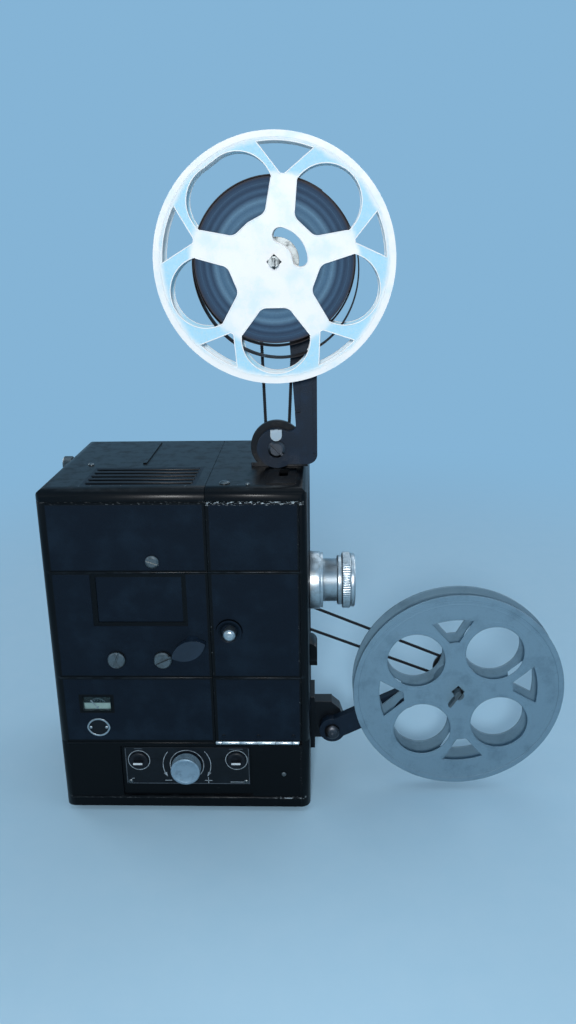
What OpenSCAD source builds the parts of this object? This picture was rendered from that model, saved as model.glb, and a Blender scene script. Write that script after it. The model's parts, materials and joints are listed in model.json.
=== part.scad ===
// Box-shaped silent film projector, 16 mm, with two folding reel arms.
// Places inside the modules are measured from the case's lower front corner on the
// lamp side: x towards the lens, y towards the back, z up from the table.

/* [Case] */
// Width of the case, lamp side to lens side
body_w = 210; // [208:1:214]
// Depth of the case, front to back
body_d = 168; // [166:1:176]
// Height of the case without its feet
body_h = 283; // [282:1:286]
// Height of the base casting
base_h = 63; // [62:0.5:64]
// Height of the rubber feet
foot_h = 5; // [4:0.5:6]
// Radius of the upright corners
corner_r = 8; // [7:0.5:9]
// Radius of the top edges
edge_r = 9; // [8:0.5:10]
// Sheet thickness of the casings
wall = 2.5; // [2.2:0.1:2.7]
// Place of the seam between lamp house and film door
seam_x = 131.5; // [131:0.5:132]

/* [Optics] */
// Depth of the film plane's middle behind the front
film_y = 42; // [41.5:0.5:42.5]
// Height of the optical axis
lens_z = 196.5; // [195:0.5:198]
// Radius of the sliding lens tube
lens_tube_r = 17.8; // [17:0.1:18]
// Distance from the lamp side to the lens front
lens_front_x = 247.7; // [246:0.1:250]

/* [Reels] */
// Radius of a reel for 120 m of film
reel_r = 89; // [86:0.5:90]
// Thickness of a stamped flange
flange_t = 1.2; // [1:0.1:1.6]
// Clear width between the two flanges
film_gap = 17.6; // [17:0.1:18]
// Radius of the wound film on the feed reel
film_pack_r = 58; // [45:1:62]
// Place of the feed reel across the case
feed_x = 186.5; // [185:0.5:188]
// Height of the feed reel's axis
feed_z = 451; // [449:0.5:455]
// Place of the take-up reel across the case
take_x = 336; // [334:0.5:340]
// Height of the take-up reel's axis
take_z = 97.5; // [97:0.5:100]

/* [Arms and belts] */
// Place of the feed arm's pivot across the case
feed_pivot_x = 184.5; // [184:0.5:185]
// Height of the feed arm's pivot
feed_pivot_z = 305; // [305:0.5:306]
// Place of the take-up arm's pivot across the case
take_pivot_x = 229.5; // [229:0.5:230]
// Height of the take-up arm's pivot
take_pivot_z = 44.5; // [44:0.5:45]
// Radius of a spring belt's section
belt_r = 1.4; // [1.2:0.1:1.5]

/* [Hidden] */
$fn = 72;

// Finishes, as the photograph shows them
enamel = "#1b1e22";
gloss_black = "#101114";
nickel = "#c4c6c6";
bright_aluminium = "#e8eaea";
dull_aluminium = "#9fa7ad";
steel = "#84888c";
brass = "#b49a5a";
spring_steel = "#6f6a62";
rubber = "#17181a";
film_base = "#3a4650";
clear_glass = "#cfe0e6";

// Clearances: a shaft in its bore, and two faces that pass each other
fit = 0.05;
pass = 0.3;

// The origin is under the middle of the whole machine's outline
reach_left = 12;
reach_front = 15;
case_x = (reach_left - take_x - reel_r) / 2;
case_y = (reach_front - body_d) / 2;

base_top = foot_h + base_h;
case_top = foot_h + body_h;
base_wall = 4;
bead_r = 0.9;
bead_heights = [128, 220];
bead_from = 6.5;
door_right = 203.2;
door_top = 277.7;
door_foot = base_top + 1.3;
partition_x = seam_x + 0.15;
partition_t = 3;

// The piano hinge under the door: six knuckles on one pin
hinge_y = 0.4;
hinge_z = base_top - 0.7;
knuckle_r = 1.7;
pin_r = 0.8;
knuckle_edges = [132, 137.2, 151.8, 166.4, 181.4, 196, 201.2];

// Depths behind the front, reel by reel and arm by arm
reel_front = film_y - film_gap / 2 - flange_t;
reel_back = film_y + film_gap / 2 + flange_t;
arm_front = reel_back + 4;
arm_back = arm_front + 8;
plate_front = 61;
plate_back = 65;
feed_belt_y = 74.5;
take_belt_y = 71;

// Belt runs: pitch radius at each pulley
rewind_pulley_r = 9;
feed_pulley_r = 14.9;
drive_pulley_r = 10.7;
take_pulley_r = 8.7;
drive_pulley_x = 180;
drive_pulley_z = 161;

spindle_r = 3.95;
fork_w = 2.6;
fork_turn = -34;
catch_y = reel_front - 4;
catch_pin_r = 0.9;
button_up = 12;
collar_r = 9;
square_side = 7.8;
axle_r = 5;
core_r = 30;
core_wall = 2;
film_w = 16;

// Film transport behind the door
sprocket_x = 165;
sprocket_zs = [245, 135];
sprocket_r = 14;
sprocket_teeth = 12;
gate_x = 150;
shutter_x = 140;
shutter_shaft_y = 92;
shutter_r = 62;
cam_r = 8;

// Motor and lamp
motor_y = 118;
motor_z = 112;
motor_r = 33;
lamp_x = 62;
rotor_pulley_r = 9;
shutter_pulley_r = 18;
belt_x = 124;

// Front controls: x and z of each
speed_at = [106.3, 45.5];
lamp_switch_at = [66, 50];
direction_switch_at = [148.3, 50.5];
lever_at = [117, 159.5];
adjuster_at = [[54.9, 145.5], [92.4, 145.5]];
door_knob_at = [147.5, 170.5];
meter_at = [34.5, 103.8];
side_knob_at = [128, 275];
inlet_at = [60, 36];

// A plate drawn as seen from the front, between two depths
module front_plate(y0, y1) {
  translate([0, y1, 0]) rotate([90, 0, 0]) linear_extrude(y1 - y0) children();
}

// A plate drawn as seen from the lens side, between two distances across
module side_plate(x0, x1) {
  translate([x0, 0, 0]) rotate([90, 0, 90]) linear_extrude(x1 - x0) children();
}

// A rod from front to back
module rod_y(x, z, y0, y1, r) {
  translate([x, y0, z]) rotate([-90, 0, 0]) cylinder(h = y1 - y0, r = r);
}

// A rod across
module rod_x(y, z, x0, x1, r) {
  translate([x0, y, z]) rotate([0, 90, 0]) cylinder(h = x1 - x0, r = r);
}

// A turned piece: radius and length along y, or along x
module turn_y(x, z, y0) {
  translate([x, y0, z]) rotate([-90, 0, 0]) rotate_extrude() children();
}

module turn_x(y, z, x0) {
  translate([x0, y, z]) rotate([0, 90, 0]) rotate_extrude() children();
}

module block(x0, y0, z0, x1, y1, z1) {
  translate([x0, y0, z0]) cube([x1 - x0, y1 - y0, z1 - z0]);
}

// Moves a piece from the case's corner to the machine's origin
module place() {
  translate([case_x, case_y, 0]) children();
}

module rounded_square(x0, y0, x1, y1, r) {
  translate([x0 + r, y0]) square([x1 - x0 - 2 * r, y1 - y0]);
  translate([x0, y0 + r]) square([x1 - x0, y1 - y0 - 2 * r]);
  for (x = [x0 + r, x1 - r], y = [y0 + r, y1 - r]) {
    translate([x, y]) circle(r);
  }
}

module arched_square(x0, z0, x1, z1, r) {
  translate([x0, z0]) square([x1 - x0, z1 - z0 - r]);
  translate([x0 + r, z0]) square([x1 - x0 - 2 * r, z1 - z0]);
  for (x = [x0 + r, x1 - r]) {
    translate([x, z1 - r]) circle(r);
  }
}

// Two round ends joined by a straight bar, each end with its own radius
module link(a, b, ra, rb, width) {
  dx = b[0] - a[0];
  dz = b[1] - a[1];
  translate(a) circle(ra);
  translate(b) circle(rb);
  translate(a) rotate(atan2(dz, dx)) translate([0, -width / 2]) square([norm([dx, dz]), width]);
}

// The whole case's outer form, or its inner form one wall further in
module case_form(inset) {
  low = foot_h - 1;
  intersection() {
    translate([0, 0, low]) linear_extrude(case_top - inset - low)
      rounded_square(inset, inset, body_w - inset, body_d - inset, corner_r - inset);
    front_plate(-1, body_d + 1) arched_square(inset, low, body_w - inset, case_top - inset, edge_r - inset);
    side_plate(-1, body_w + 1) arched_square(inset, low, body_d - inset, case_top - inset, edge_r - inset);
  }
}

// A slotted screw head on a face that looks forward
module slotted_head(x, z, y, r, h, turn) {
  difference() {
    turn_y(x, z, y - h) polygon([[0, 0], [r * 0.7, 0], [r, h * 0.45], [r, h], [0, h]]);
    translate([x, y - h, z]) rotate([0, turn, 0]) cube([2 * r + 1, h, r * 0.28], center = true);
  }
}

// The area inside a taut loop round two circles. The straight sides run a hair inside
// the tangents, so that they cross both circles.
module loop_area(c1, r1, c2, r2) {
  heading = atan2(c2[1] - c1[1], c2[0] - c1[0]);
  lean = asin((r2 - r1) / norm(c2 - c1));
  inside = 0.998;
  sides = [for (side = [-1, 1]) let (a = heading + side * (90 + lean)) inside * [cos(a), sin(a)]];
  translate(c1) circle(r1);
  translate(c2) circle(r2);
  polygon([c1 + r1 * sides[0], c2 + r2 * sides[0], c2 + r2 * sides[1], c1 + r1 * sides[1]]);
}

// A belt in an upright plane across the machine, round two pulleys, the smaller one first
module belt(c1, r1, c2, r2, y) {
  difference() {
    front_plate(y - belt_r, y + belt_r) loop_area(c1, r1 + belt_r, c2, r2 + belt_r);
    front_plate(y - belt_r - 1, y + belt_r + 1) loop_area(c1, r1 - belt_r, c2, r2 - belt_r);
  }
}

// A grooved pulley's half section for a pitch radius, with its bore
module pulley_section(pitch, flange, bore, width) {
  floor_r = pitch - belt_r - pass;
  groove_w = 2 * (belt_r + pass);
  difference() {
    translate([bore, 0]) square([flange - bore, width]);
    translate([floor_r, (width - groove_w) / 2]) square([flange, groove_w]);
  }
}

module base_casting() {
  color(enamel) place() difference() {
    union() {
      translate([0, 0, foot_h]) linear_extrude(base_h) rounded_square(0, 0, body_w, body_d, corner_r);
      rod_x(0, base_top - bead_r, bead_from, seam_x - 1, bead_r);
      rod_x(0, foot_h + 9, bead_from, body_w - bead_from, bead_r);
    }
    block(base_wall, base_wall, foot_h + base_wall, body_w - base_wall, body_d - base_wall, base_top - base_wall);
    block(51, -2, foot_h + 10.5, 161.5, 1.8, base_top - 4.5);
    block(seam_x, -2, base_top - 3, door_right + 0.3, 3.4, base_top + 1);
    for (at = [speed_at, lamp_switch_at, direction_switch_at]) {
      rod_y(at[0], at[1], -1, base_wall + 1, 3 + fit);
    }
    rod_y(inlet_at[0], inlet_at[1], body_d - base_wall - 1, body_d + 1, 14);
  }
}

module rubber_feet() {
  color(rubber) place() for (x = [13, body_w - 13], y = [15, body_d - 15]) {
    translate([x, y, 0]) rotate_extrude() polygon([[0, 0], [8.5, 0], [9.5, 1], [10, foot_h], [0, foot_h]]);
  }
}

module lamp_house_casing() {
  color(enamel) place() difference() {
    union() {
      difference() {
        intersection() {
          case_form(0);
          block(-1, -1, base_top, seam_x - 0.15, body_d + 1, case_top + 1);
        }
        case_form(wall);
        // groove round the lid, level with the door's top edge
        difference() {
          block(-1, -1, door_top - 0.8, body_w + 1, body_d + 1, door_top + 0.4);
          case_form(0.8);
        }
      }
      for (z = bead_heights) {
        rod_x(0, z, bead_from, seam_x - 0.15, bead_r);
      }
      // hooded louvres over the lamp, and the rib behind them
      for (i = [0:4]) {
        rod_x(16.5 + 10 * i, case_top, 37, 121, 1.6);
      }
      block(71, 75, case_top - 1, 74, 152, case_top + 1.2);
    }
    for (i = [0:4]) {
      block(38, 12.5 + 10 * i, case_top - wall - 1, 120, 14.9 + 10 * i, case_top + 3);
    }
    block(38, -1, 174, 114, 0.8, bead_heights[1] - 1.4);
    block(42, -1, 177, 112, 1.5, bead_heights[1] - 4);
    block(meter_at[0] - 11.4, -1, meter_at[1] - 6.3, meter_at[0] + 11.4, wall + 1, meter_at[1] + 6.3);
    for (at = concat(adjuster_at, [lever_at])) {
      rod_y(at[0], at[1], -1, wall + 1, 3 + fit);
    }
    rod_x(side_knob_at[0], side_knob_at[1], -1, wall + 1, 3 + fit);
  }
}

module mechanism_casing() {
  color(enamel) place() difference() {
    union() {
      difference() {
        intersection() {
          case_form(0);
          block(partition_x, -1, base_top, body_w + 1, body_d + 1, case_top + 1);
        }
        case_form(wall);
      }
      intersection() {
        case_form(wall / 2);
        block(partition_x, wall + 0.3, base_top, partition_x + partition_t, body_d, case_top);
      }
      // raised plate round the film slot on the top, and the hood over the film's way out
      block(178, 11, case_top - 1, 200.5, 55.5, case_top + 0.8);
      intersection() {
        front_plate(film_y - 11, film_y + 11) {
          translate([body_w - 1, 123]) square([7.5, 13.5]);
          translate([body_w, 136.5]) circle(6.5);
        }
        block(body_w - 1, 0, 100, body_w + 10, body_d, 150);
      }
    }
    block(partition_x - 1, -2, base_top - 1, door_right + 0.3, wall + 0.3, door_top + 0.3);
    // film in through the top, out towards the take-up reel
    block(187, film_y - 10, case_top - 6, 194, film_y + 10, case_top + 3);
    block(body_w - 5, film_y - 10, 105, body_w + 1, film_y + 10, 121);
    // light from the lamp house, lens and belt outlet
    rod_x(film_y, lens_z, partition_x - 1, partition_x + partition_t + 1, 16);
    rod_x(shutter_shaft_y, lens_z, partition_x - 1, partition_x + partition_t + 1, 3 + fit);
    rod_x(film_y, lens_z, body_w - 5, body_w + 1, lens_tube_r + 1.1);
    block(body_w - 5, take_belt_y - 5, 134, body_w + 1, take_belt_y + 5, 165);
  }
}

module control_panel() {
  color(gloss_black) place() difference() {
    block(54, 0.4, 26.5, 159.5, 1.8, 62.5);
    for (at = [speed_at, lamp_switch_at, direction_switch_at]) {
      rod_y(at[0], at[1], 0, 3, 3 + fit);
    }
  }
}

module cover_screws() {
  color(nickel) place() {
    slotted_head(88.4, 229, 0, 5.3, 2.4, 20);
    slotted_head(57.6, 29.3, 0.4, 2, 0.9, 60);
    slotted_head(156, 29.3, 0.4, 2, 0.9, -30);
    slotted_head(188, 37.3, 0, 1.9, 1, 10);
    // heads on the top and on the lens flange
    for (s = [[145.8, 15, 4.2], [27.6, 73, 2.6], [164, 10.5, 1.5]]) {
      translate([s[0], s[1], case_top]) difference() {
        rotate_extrude() polygon([[0, 0], [s[2], 0], [s[2], 0.7], [s[2] * 0.6, 1.6], [0, 1.6]]);
        translate([0, 0, 1.6]) rotate(35) cube([2 * s[2] + 1, s[2] * 0.3, 1.4], center = true);
      }
    }
  }
}

module ammeter_case() {
  color(gloss_black) place() difference() {
    block(meter_at[0] - 14.5, wall, meter_at[1] - 12, meter_at[0] + 14.5, 24, meter_at[1] + 12);
    block(meter_at[0] - 11.4, wall - 1, meter_at[1] - 6.3, meter_at[0] + 11.4, wall + 0.6, meter_at[1] + 6.3);
    rod_y(meter_at[0], meter_at[1] - 4.5, wall, 10, 1 + fit);
  }
}

module ammeter_needle() {
  color(steel) place() {
    rod_y(meter_at[0], meter_at[1] - 4.5, 1.4, 8, 1);
    translate([meter_at[0], 1.4, meter_at[1] - 4.5]) rotate([0, -38, 0]) translate([-0.35, 0, 0]) cube([0.7, 0.6, 8.6]);
  }
}

// The hinge's two sides take turns along the pin
module door_hinge_leaf() {
  color(nickel) place() difference() {
    union() {
      block(knuckle_edges[0], 2.4, base_top - 3, knuckle_edges[6], 3.4, base_top - 0.2);
      for (i = [0:2:5]) {
        rod_x(hinge_y, hinge_z, knuckle_edges[i], knuckle_edges[i + 1] - 0.3, knuckle_r);
        block(knuckle_edges[i], hinge_y, base_top - 2.2, knuckle_edges[i + 1] - 0.3, 2.6, base_top - 1);
      }
    }
    rod_x(hinge_y, hinge_z, knuckle_edges[0] - 1, knuckle_edges[6] + 1, pin_r);
  }
}

module door_hinge_pin() {
  color(nickel) place() rod_x(hinge_y, hinge_z, knuckle_edges[0] - 0.3, knuckle_edges[6] + 0.3, pin_r);
}

module film_door() {
  color(enamel) place() difference() {
    union() {
      block(seam_x + 0.2, 0, door_foot, door_right, wall, door_top);
      for (z = bead_heights) {
        rod_x(0, z, seam_x + 0.2, door_right, bead_r);
      }
      // stiffening frame on the inside
      difference() {
        block(137, wall - 0.5, door_foot + 3, 201.5, 5.5, door_top - 3);
        block(140.5, wall - 1, door_foot + 6.5, 198, 6, door_top - 6.5);
      }
      // dished escutcheon under the knob
      turn_y(door_knob_at[0] - 1, door_knob_at[1] - 1, -2.2)
        polygon([[6.4, 1.4], [9, 0], [10.2, 0], [10.8, 2.4], [6.4, 2.4]]);
      // rivets of the hinge
      for (x = [138.5, 167.5, 196.5]) {
        turn_y(x, door_foot + 4.5, -0.7) polygon([[0, 0], [0.9, 0], [1.7, 0.8], [0, 0.8]]);
      }
      for (i = [1:2:5]) {
        rod_x(hinge_y, hinge_z, knuckle_edges[i], knuckle_edges[i + 1] - 0.3, knuckle_r);
        block(knuckle_edges[i], 0, hinge_z, knuckle_edges[i + 1] - 0.3, 1.8, door_foot + 1);
      }
    }
    rod_x(hinge_y, hinge_z, knuckle_edges[0] - 1, knuckle_edges[6] + 1, pin_r + fit);
    rod_y(door_knob_at[0], door_knob_at[1], -1, wall + 1, 3 + fit);
  }
}

module door_knob() {
  x = door_knob_at[0];
  z = door_knob_at[1];
  color(nickel) place() {
    turn_y(x, z, -12) polygon([[0, 0], [3.4, 0.3], [4.8, 1.6], [5.2, 4], [4.9, 8], [4.2, 11.7], [0, 11.7]]);
    rod_y(x, z, -0.4, 9, 3);
    // latch bar
    block(x - 10.5, 7, z - 3, x + 4, 9, z + 3);
  }
}

module speed_knob() {
  color(bright_aluminium) place() {
    turn_y(speed_at[0], speed_at[1], -reach_front) polygon([
      [0, 0.6], [9, 0.6], [9.6, 0], [11.4, 0], [12.2, 1.2], [12.6, 13.4], [13.4, 14], [13.4, 15.1], [0, 15.1]
    ]);
    rod_y(speed_at[0], speed_at[1], 0, 16, 3);
  }
}

// A rotary switch: a disc, its bar handle and its shaft
module switch_knob(at) {
  turn_y(at[0], at[1], -2) polygon([[0, 0.6], [6.6, 0], [7.6, 0.6], [8, 2.1], [0, 2.1]]);
  translate([at[0], -3.2, at[1]]) cube([8, 4.4, 2.5], center = true);
  rod_y(at[0], at[1], 0, 14, 3);
}

module lamp_switch_knob() {
  color(gloss_black) place() switch_knob(lamp_switch_at);
}

module direction_switch_knob() {
  color(gloss_black) place() switch_knob(direction_switch_at);
}

module still_lever() {
  half_length = 15;
  half_width = 8;
  arc_r = (pow(half_length, 2) + pow(half_width, 2)) / (2 * half_width);
  color(gloss_black) place() {
    front_plate(-9, -4) translate([114.2, 156]) rotate(24) intersection_for(side = [-1, 1]) {
      translate([0, side * (arc_r - half_width)]) circle(arc_r);
    }
    turn_y(lever_at[0], lever_at[1], -5) polygon([[0, 0], [5.4, 0], [6.4, 4.6], [0, 4.6]]);
    rod_y(lever_at[0], lever_at[1], -1, 18, 3);
  }
}

module lamp_adjuster(at, turn) {
  difference() {
    turn_y(at[0], at[1], -5.4) polygon([[0, 0], [6.2, 0], [7.2, 1], [7.2, 4.2], [6.4, 5.2], [0, 5.2]]);
    translate([at[0], -5.4, at[1]]) rotate([0, turn, 0]) cube([16, 2.8, 1.8], center = true);
  }
  rod_y(at[0], at[1], -0.4, 22, 3);
}

module lamp_adjuster_left() {
  color(nickel) place() lamp_adjuster(adjuster_at[0], -70);
}

module lamp_adjuster_right() {
  color(nickel) place() lamp_adjuster(adjuster_at[1], -25);
}

module side_knob() {
  color(nickel) place() {
    turn_x(side_knob_at[0], side_knob_at[1], -reach_left) polygon([
      [0, 0], [6, 0], [7, 1], [7, 7.5], [6, 8.5], [4.5, 9.2], [4.5, 11.8], [0, 11.8]
    ]);
    rod_x(side_knob_at[0], side_knob_at[1], -0.5, 10, 3);
  }
}

module power_inlet() {
  color(gloss_black) place() {
    difference() {
      rod_y(inlet_at[0], inlet_at[1], body_d - 14, body_d, 14);
      rod_y(inlet_at[0], inlet_at[1], body_d - 12, body_d + 1, 11.5);
    }
    for (side = [-1, 1]) {
      rod_y(inlet_at[0] + 5.5 * side, inlet_at[1], body_d - 13, body_d - 2, 2.4);
    }
  }
}

module lens_mount() {
  color(nickel) place() turn_x(film_y, lens_z, 196) {
    bore = lens_tube_r + fit;
    polygon([
      [bore, 0], [bore + 1.05, 0], [bore + 1.05, 14], [23.2, 14], [24, 14.8], [24, 22.6], [23, 23.6],
      [23, 25.6], [bore, 25.6]
    ]);
  }
}

module lens_barrel() {
  ring_from = lens_front_x - 10.7;
  color(nickel) place() difference() {
    union() {
      rod_x(film_y, lens_z, 176, ring_from, lens_tube_r);
      turn_x(film_y, lens_z, ring_from - 4) polygon([[0, 0], [19.7, 0], [20.5, 0.8], [20.5, 4], [0, 4]]);
      rod_x(film_y, lens_z, ring_from, lens_front_x - 2, 19);
      turn_x(film_y, lens_z, lens_front_x - 3.5) polygon([[0, 0], [22.2, 0], [22.2, 2.6], [21.2, 3.5], [0, 3.5]]);
    }
    rod_x(film_y, lens_z, 175, lens_front_x + 1, 15);
    turn_x(film_y, lens_z, lens_front_x - 4) polygon([[0, 0], [15, 0], [19, 4], [19, 5], [0, 5]]);
  }
}

module focus_ring() {
  color(nickel) place() turn_x(film_y, lens_z, lens_front_x - 10.55)
    polygon([[19 + fit, 0], [22.4, 0], [23.2, 0.8], [23.2, 6.1], [22.4, 6.9], [19 + fit, 6.9]]);
}

// A lens with two bulged faces of one radius, on an axis across
module bulged_lens(x, r, thick, curve_r) {
  sink = curve_r - thick / 2;
  turn_x(film_y, lens_z, x) intersection() {
    translate([0, -sink]) circle(curve_r, $fn = 480);
    translate([0, sink]) circle(curve_r, $fn = 480);
    translate([0, -thick]) square([r, 2 * thick]);
  }
}

module lens_glass() {
  color(clear_glass) place() {
    bulged_lens(lens_front_x - 8, 15 - fit, 7, 46);
    bulged_lens(184, 15 - fit, 7, 40);
  }
}

module mechanism_plate() {
  color(steel) place() difference() {
    union() {
      block(partition_x + partition_t, plate_front, base_top, body_w - wall, plate_back, door_top);
      // bearing block for the shutter shaft
      block(172, plate_back - 1, lens_z - 8, 180, shutter_shaft_y + 7, lens_z + 8);
      for (z = sprocket_zs) {
        rod_y(sprocket_x, z, plate_back - 1, plate_back + 3, 7);
      }
      rod_y(drive_pulley_x, drive_pulley_z, plate_front - 1.5, plate_back, 6);
    }
    rod_x(shutter_shaft_y, lens_z, 171, 181, 3 + fit);
    block(shutter_x - 2, plate_front - 1, lens_z - 58, gate_x - 0.5, plate_back + 1, lens_z + 58);
    for (z = sprocket_zs) {
      rod_y(sprocket_x, z, plate_front - 1, plate_back + 4, 3 + fit);
    }
    rod_y(drive_pulley_x, drive_pulley_z, plate_front - 0.5, plate_back + 1, 3 + fit);
  }
}

module film_gate() {
  color(brass) place() difference() {
    union() {
      block(gate_x, 28, lens_z - 36, gate_x + 3, plate_front, lens_z + 36);
      // rails beside the film, and the pressure plate's guide pins
      for (y = [film_y - 9.5, film_y + 8.2]) {
        block(gate_x + 2, y, lens_z - 36, gate_x + 3.6, y + 1.3, lens_z + 36);
      }
      for (z = [lens_z - 17, lens_z + 17]) {
        rod_x(55.5, z, gate_x + 1, gate_x + 15, 1.5);
      }
    }
    block(gate_x - 1, film_y - 5.2, lens_z - 3.8, gate_x + 5, film_y + 5.2, lens_z + 3.8);
    for (side = [-1, 1]) {
      block(gate_x - 1, film_y + 6.1 * side - 1, lens_z - 27, gate_x + 5, film_y + 6.1 * side + 1, lens_z - 11);
    }
  }
}

module pressure_plate() {
  color(steel) place() difference() {
    union() {
      block(gate_x + 4.4, film_y - 8, lens_z - 24, gate_x + 6.2, film_y + 8, lens_z + 24);
      block(gate_x + 4.4, film_y + 7, lens_z - 21, gate_x + 7.4, 59, lens_z + 21);
    }
    block(gate_x + 3, film_y - 6, lens_z - 4.6, gate_x + 8, film_y + 6, lens_z + 4.6);
    for (z = [lens_z - 17, lens_z + 17]) {
      rod_x(55.5, z, gate_x + 3, gate_x + 9, 1.5 + fit);
    }
  }
}

module claw_arm() {
  x0 = gate_x - 4.5;
  x1 = gate_x - 1.5;
  color(steel) place() {
    difference() {
      block(x0, shutter_shaft_y - 12.5, lens_z - 16.5, x1, shutter_shaft_y + 12.5, lens_z + 16.5);
      block(x0 - 1, shutter_shaft_y - cam_r - 0.4, lens_z - 12.5, x1 + 1, shutter_shaft_y + cam_r + 0.4, lens_z + 12.5);
    }
    block(x0, film_y - 8, lens_z - 22, x1, shutter_shaft_y - 12, lens_z - 16);
    for (side = [-1, 1]) {
      block(x1 - 0.5, film_y + 6.1 * side - 0.6, lens_z - 20, x1 + 4, film_y + 6.1 * side + 0.6, lens_z - 18.4);
    }
  }
}

module shutter() {
  color(gloss_black) place() {
    side_plate(shutter_x, shutter_x + 1) translate([shutter_shaft_y, lens_z]) {
      circle(14);
      // three equal blades
      for (i = [0:2]) {
        rotate(120 * i + 150) intersection() {
          circle(shutter_r);
          polygon([[0, 0], [80 * cos(32), -80 * sin(32)], [80, 0], [80 * cos(32), 80 * sin(32)]]);
        }
      }
    }
    rod_x(shutter_shaft_y, lens_z, belt_x - 4, 184, 3);
    rod_x(shutter_shaft_y, lens_z, gate_x - 4.8, gate_x - 1.2, cam_r);
    turn_x(shutter_shaft_y, lens_z, belt_x - 4) pulley_section(shutter_pulley_r, shutter_pulley_r + 2.5, 0, 8);
  }
}

// A film sprocket: two toothed rims on a waisted drum, and its shaft
module sprocket(z) {
  turn_y(sprocket_x, z, film_y - 9) polygon([
    [0, 0], [sprocket_r - 1, 0], [sprocket_r, 1], [sprocket_r, 4], [sprocket_r - 2.5, 5], [sprocket_r - 2.5, 13],
    [sprocket_r, 14], [sprocket_r, 17], [sprocket_r - 1, 18], [0, 18]
  ]);
  for (i = [0:sprocket_teeth - 1], y = [film_y - 6.7, film_y + 5.5]) {
    translate([sprocket_x, y, z]) rotate([0, 360 / sprocket_teeth * i, 0]) translate([sprocket_r - 0.5, 0, -0.6])
      cube([1.7, 1.2, 1.2]);
  }
  rod_y(sprocket_x, z, film_y + 8, 80, 3);
  rod_y(sprocket_x, z, 72, 78, 12);
}

module upper_sprocket() {
  color(steel) place() sprocket(sprocket_zs[0]);
}

module lower_sprocket() {
  color(steel) place() sprocket(sprocket_zs[1]);
}

module takeup_drive_pulley() {
  color(steel) place() {
    turn_y(drive_pulley_x, drive_pulley_z, take_belt_y - 4.5)
      pulley_section(drive_pulley_r, drive_pulley_r + 2.2, 0, 9);
    rod_y(drive_pulley_x, drive_pulley_z, plate_front, take_belt_y + 8, 3);
  }
}

module drive_motor() {
  color(enamel) place() difference() {
    union() {
      turn_x(motor_y, motor_z, 34) polygon([
        [0, 0], [12, 0], [12, 4], [motor_r - 4, 8], [motor_r, 14], [motor_r, 56], [motor_r - 4, 62], [12, 66],
        [12, 70], [0, 70]
      ]);
      block(52, motor_y - 22, base_top, 86, motor_y + 22, motor_z - 20);
    }
    rod_x(motor_y, motor_z, 33, 105, 4 + fit);
    rod_x(motor_y, motor_z, 46, 92, motor_r - 5);
  }
}

module motor_rotor() {
  color(steel) place() {
    rod_x(motor_y, motor_z, 14, belt_x + 4, 4);
    rod_x(motor_y, motor_z, 50, 88, 24);
    turn_x(motor_y, motor_z, belt_x - 4) pulley_section(rotor_pulley_r, rotor_pulley_r + 2.5, 0, 8);
    // blower wheel on the outer end
    rod_x(motor_y, motor_z, 28, 30, 38);
    rod_x(motor_y, motor_z, 14, 29, 9);
    for (i = [0:11]) {
      translate([15, motor_y, motor_z]) rotate([30 * i, 0, 0]) translate([0, 20, -0.6]) cube([14, 17, 1.2]);
    }
  }
}

// Inside the lamp house the belt runs in the plane across the motor's shaft
module drive_belt() {
  color(rubber) place() translate([belt_x, 0, 0]) rotate([0, 0, 90])
    belt([motor_y, motor_z], rotor_pulley_r, [shutter_shaft_y, lens_z], shutter_pulley_r, 0);
}

module projection_lamp() {
  color(clear_glass) place() translate([lamp_x, film_y, 0]) rotate_extrude() polygon(concat(
    [[0, 105], [13.5, 105], [13.5, 140], [12, 144], [16.5, 156], [16.5, 228]],
    [for (a = [15:15:90]) [16.5 * cos(a), 228 + 16.5 * sin(a)]]
  ));
}

module lamp_socket() {
  color(brass) place() translate([lamp_x, film_y, 0]) difference() {
    union() {
      translate([0, 0, base_top]) cylinder(h = 34, r = 9);
      translate([0, 0, base_top]) cylinder(h = 4, r = 18);
      translate([0, 0, 100]) cylinder(h = 38, r = 16.5);
    }
    translate([0, 0, 105]) cylinder(h = 40, r = 13.5);
  }
}

module lamp_reflector() {
  mirror_r = 38;
  color(nickel) place() {
    turn_x(film_y, lens_z, lamp_x) intersection() {
      difference() {
        circle(mirror_r);
        circle(mirror_r - 1.5);
      }
      translate([0, -mirror_r - 1]) square([24, mirror_r]);
    }
    rod_x(film_y, lens_z, wall, lamp_x - mirror_r + 0.5, 5);
  }
}

module condenser_tube() {
  color(steel) place() difference() {
    union() {
      rod_x(film_y, lens_z, 86, partition_x, 21);
      rod_x(film_y, lens_z, partition_x - 3, partition_x, 25);
    }
    rod_x(film_y, lens_z, 85, partition_x + 1, 19);
  }
}

module condenser_lenses() {
  color(clear_glass) place() {
    bulged_lens(94, 19, 10, 42);
    bulged_lens(107, 19, 10, 42);
  }
}

module upper_bracket() {
  pivot = [feed_pivot_x, feed_pivot_z];
  front = arm_back + pass;
  color(gloss_black) place() difference() {
    union() {
      intersection() {
        union() {
          rod_y(pivot[0], pivot[1], front, front + 4.5, 21.5);
          front_plate(front, front + 4.5) translate([pivot[0], case_top]) square([25, 20]);
        }
        block(150, 0, case_top, 230, 100, case_top + 60);
      }
      front_plate(79.8, 84.3) {
        translate(pivot) circle(13);
        translate([pivot[0] - 13, case_top]) square([26, pivot[1] - case_top]);
      }
      block(163, front, case_top, 209.5, 84.3, case_top + 3.5);
    }
    rod_y(pivot[0], pivot[1], 60, 90, axle_r);
  }
}

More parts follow.
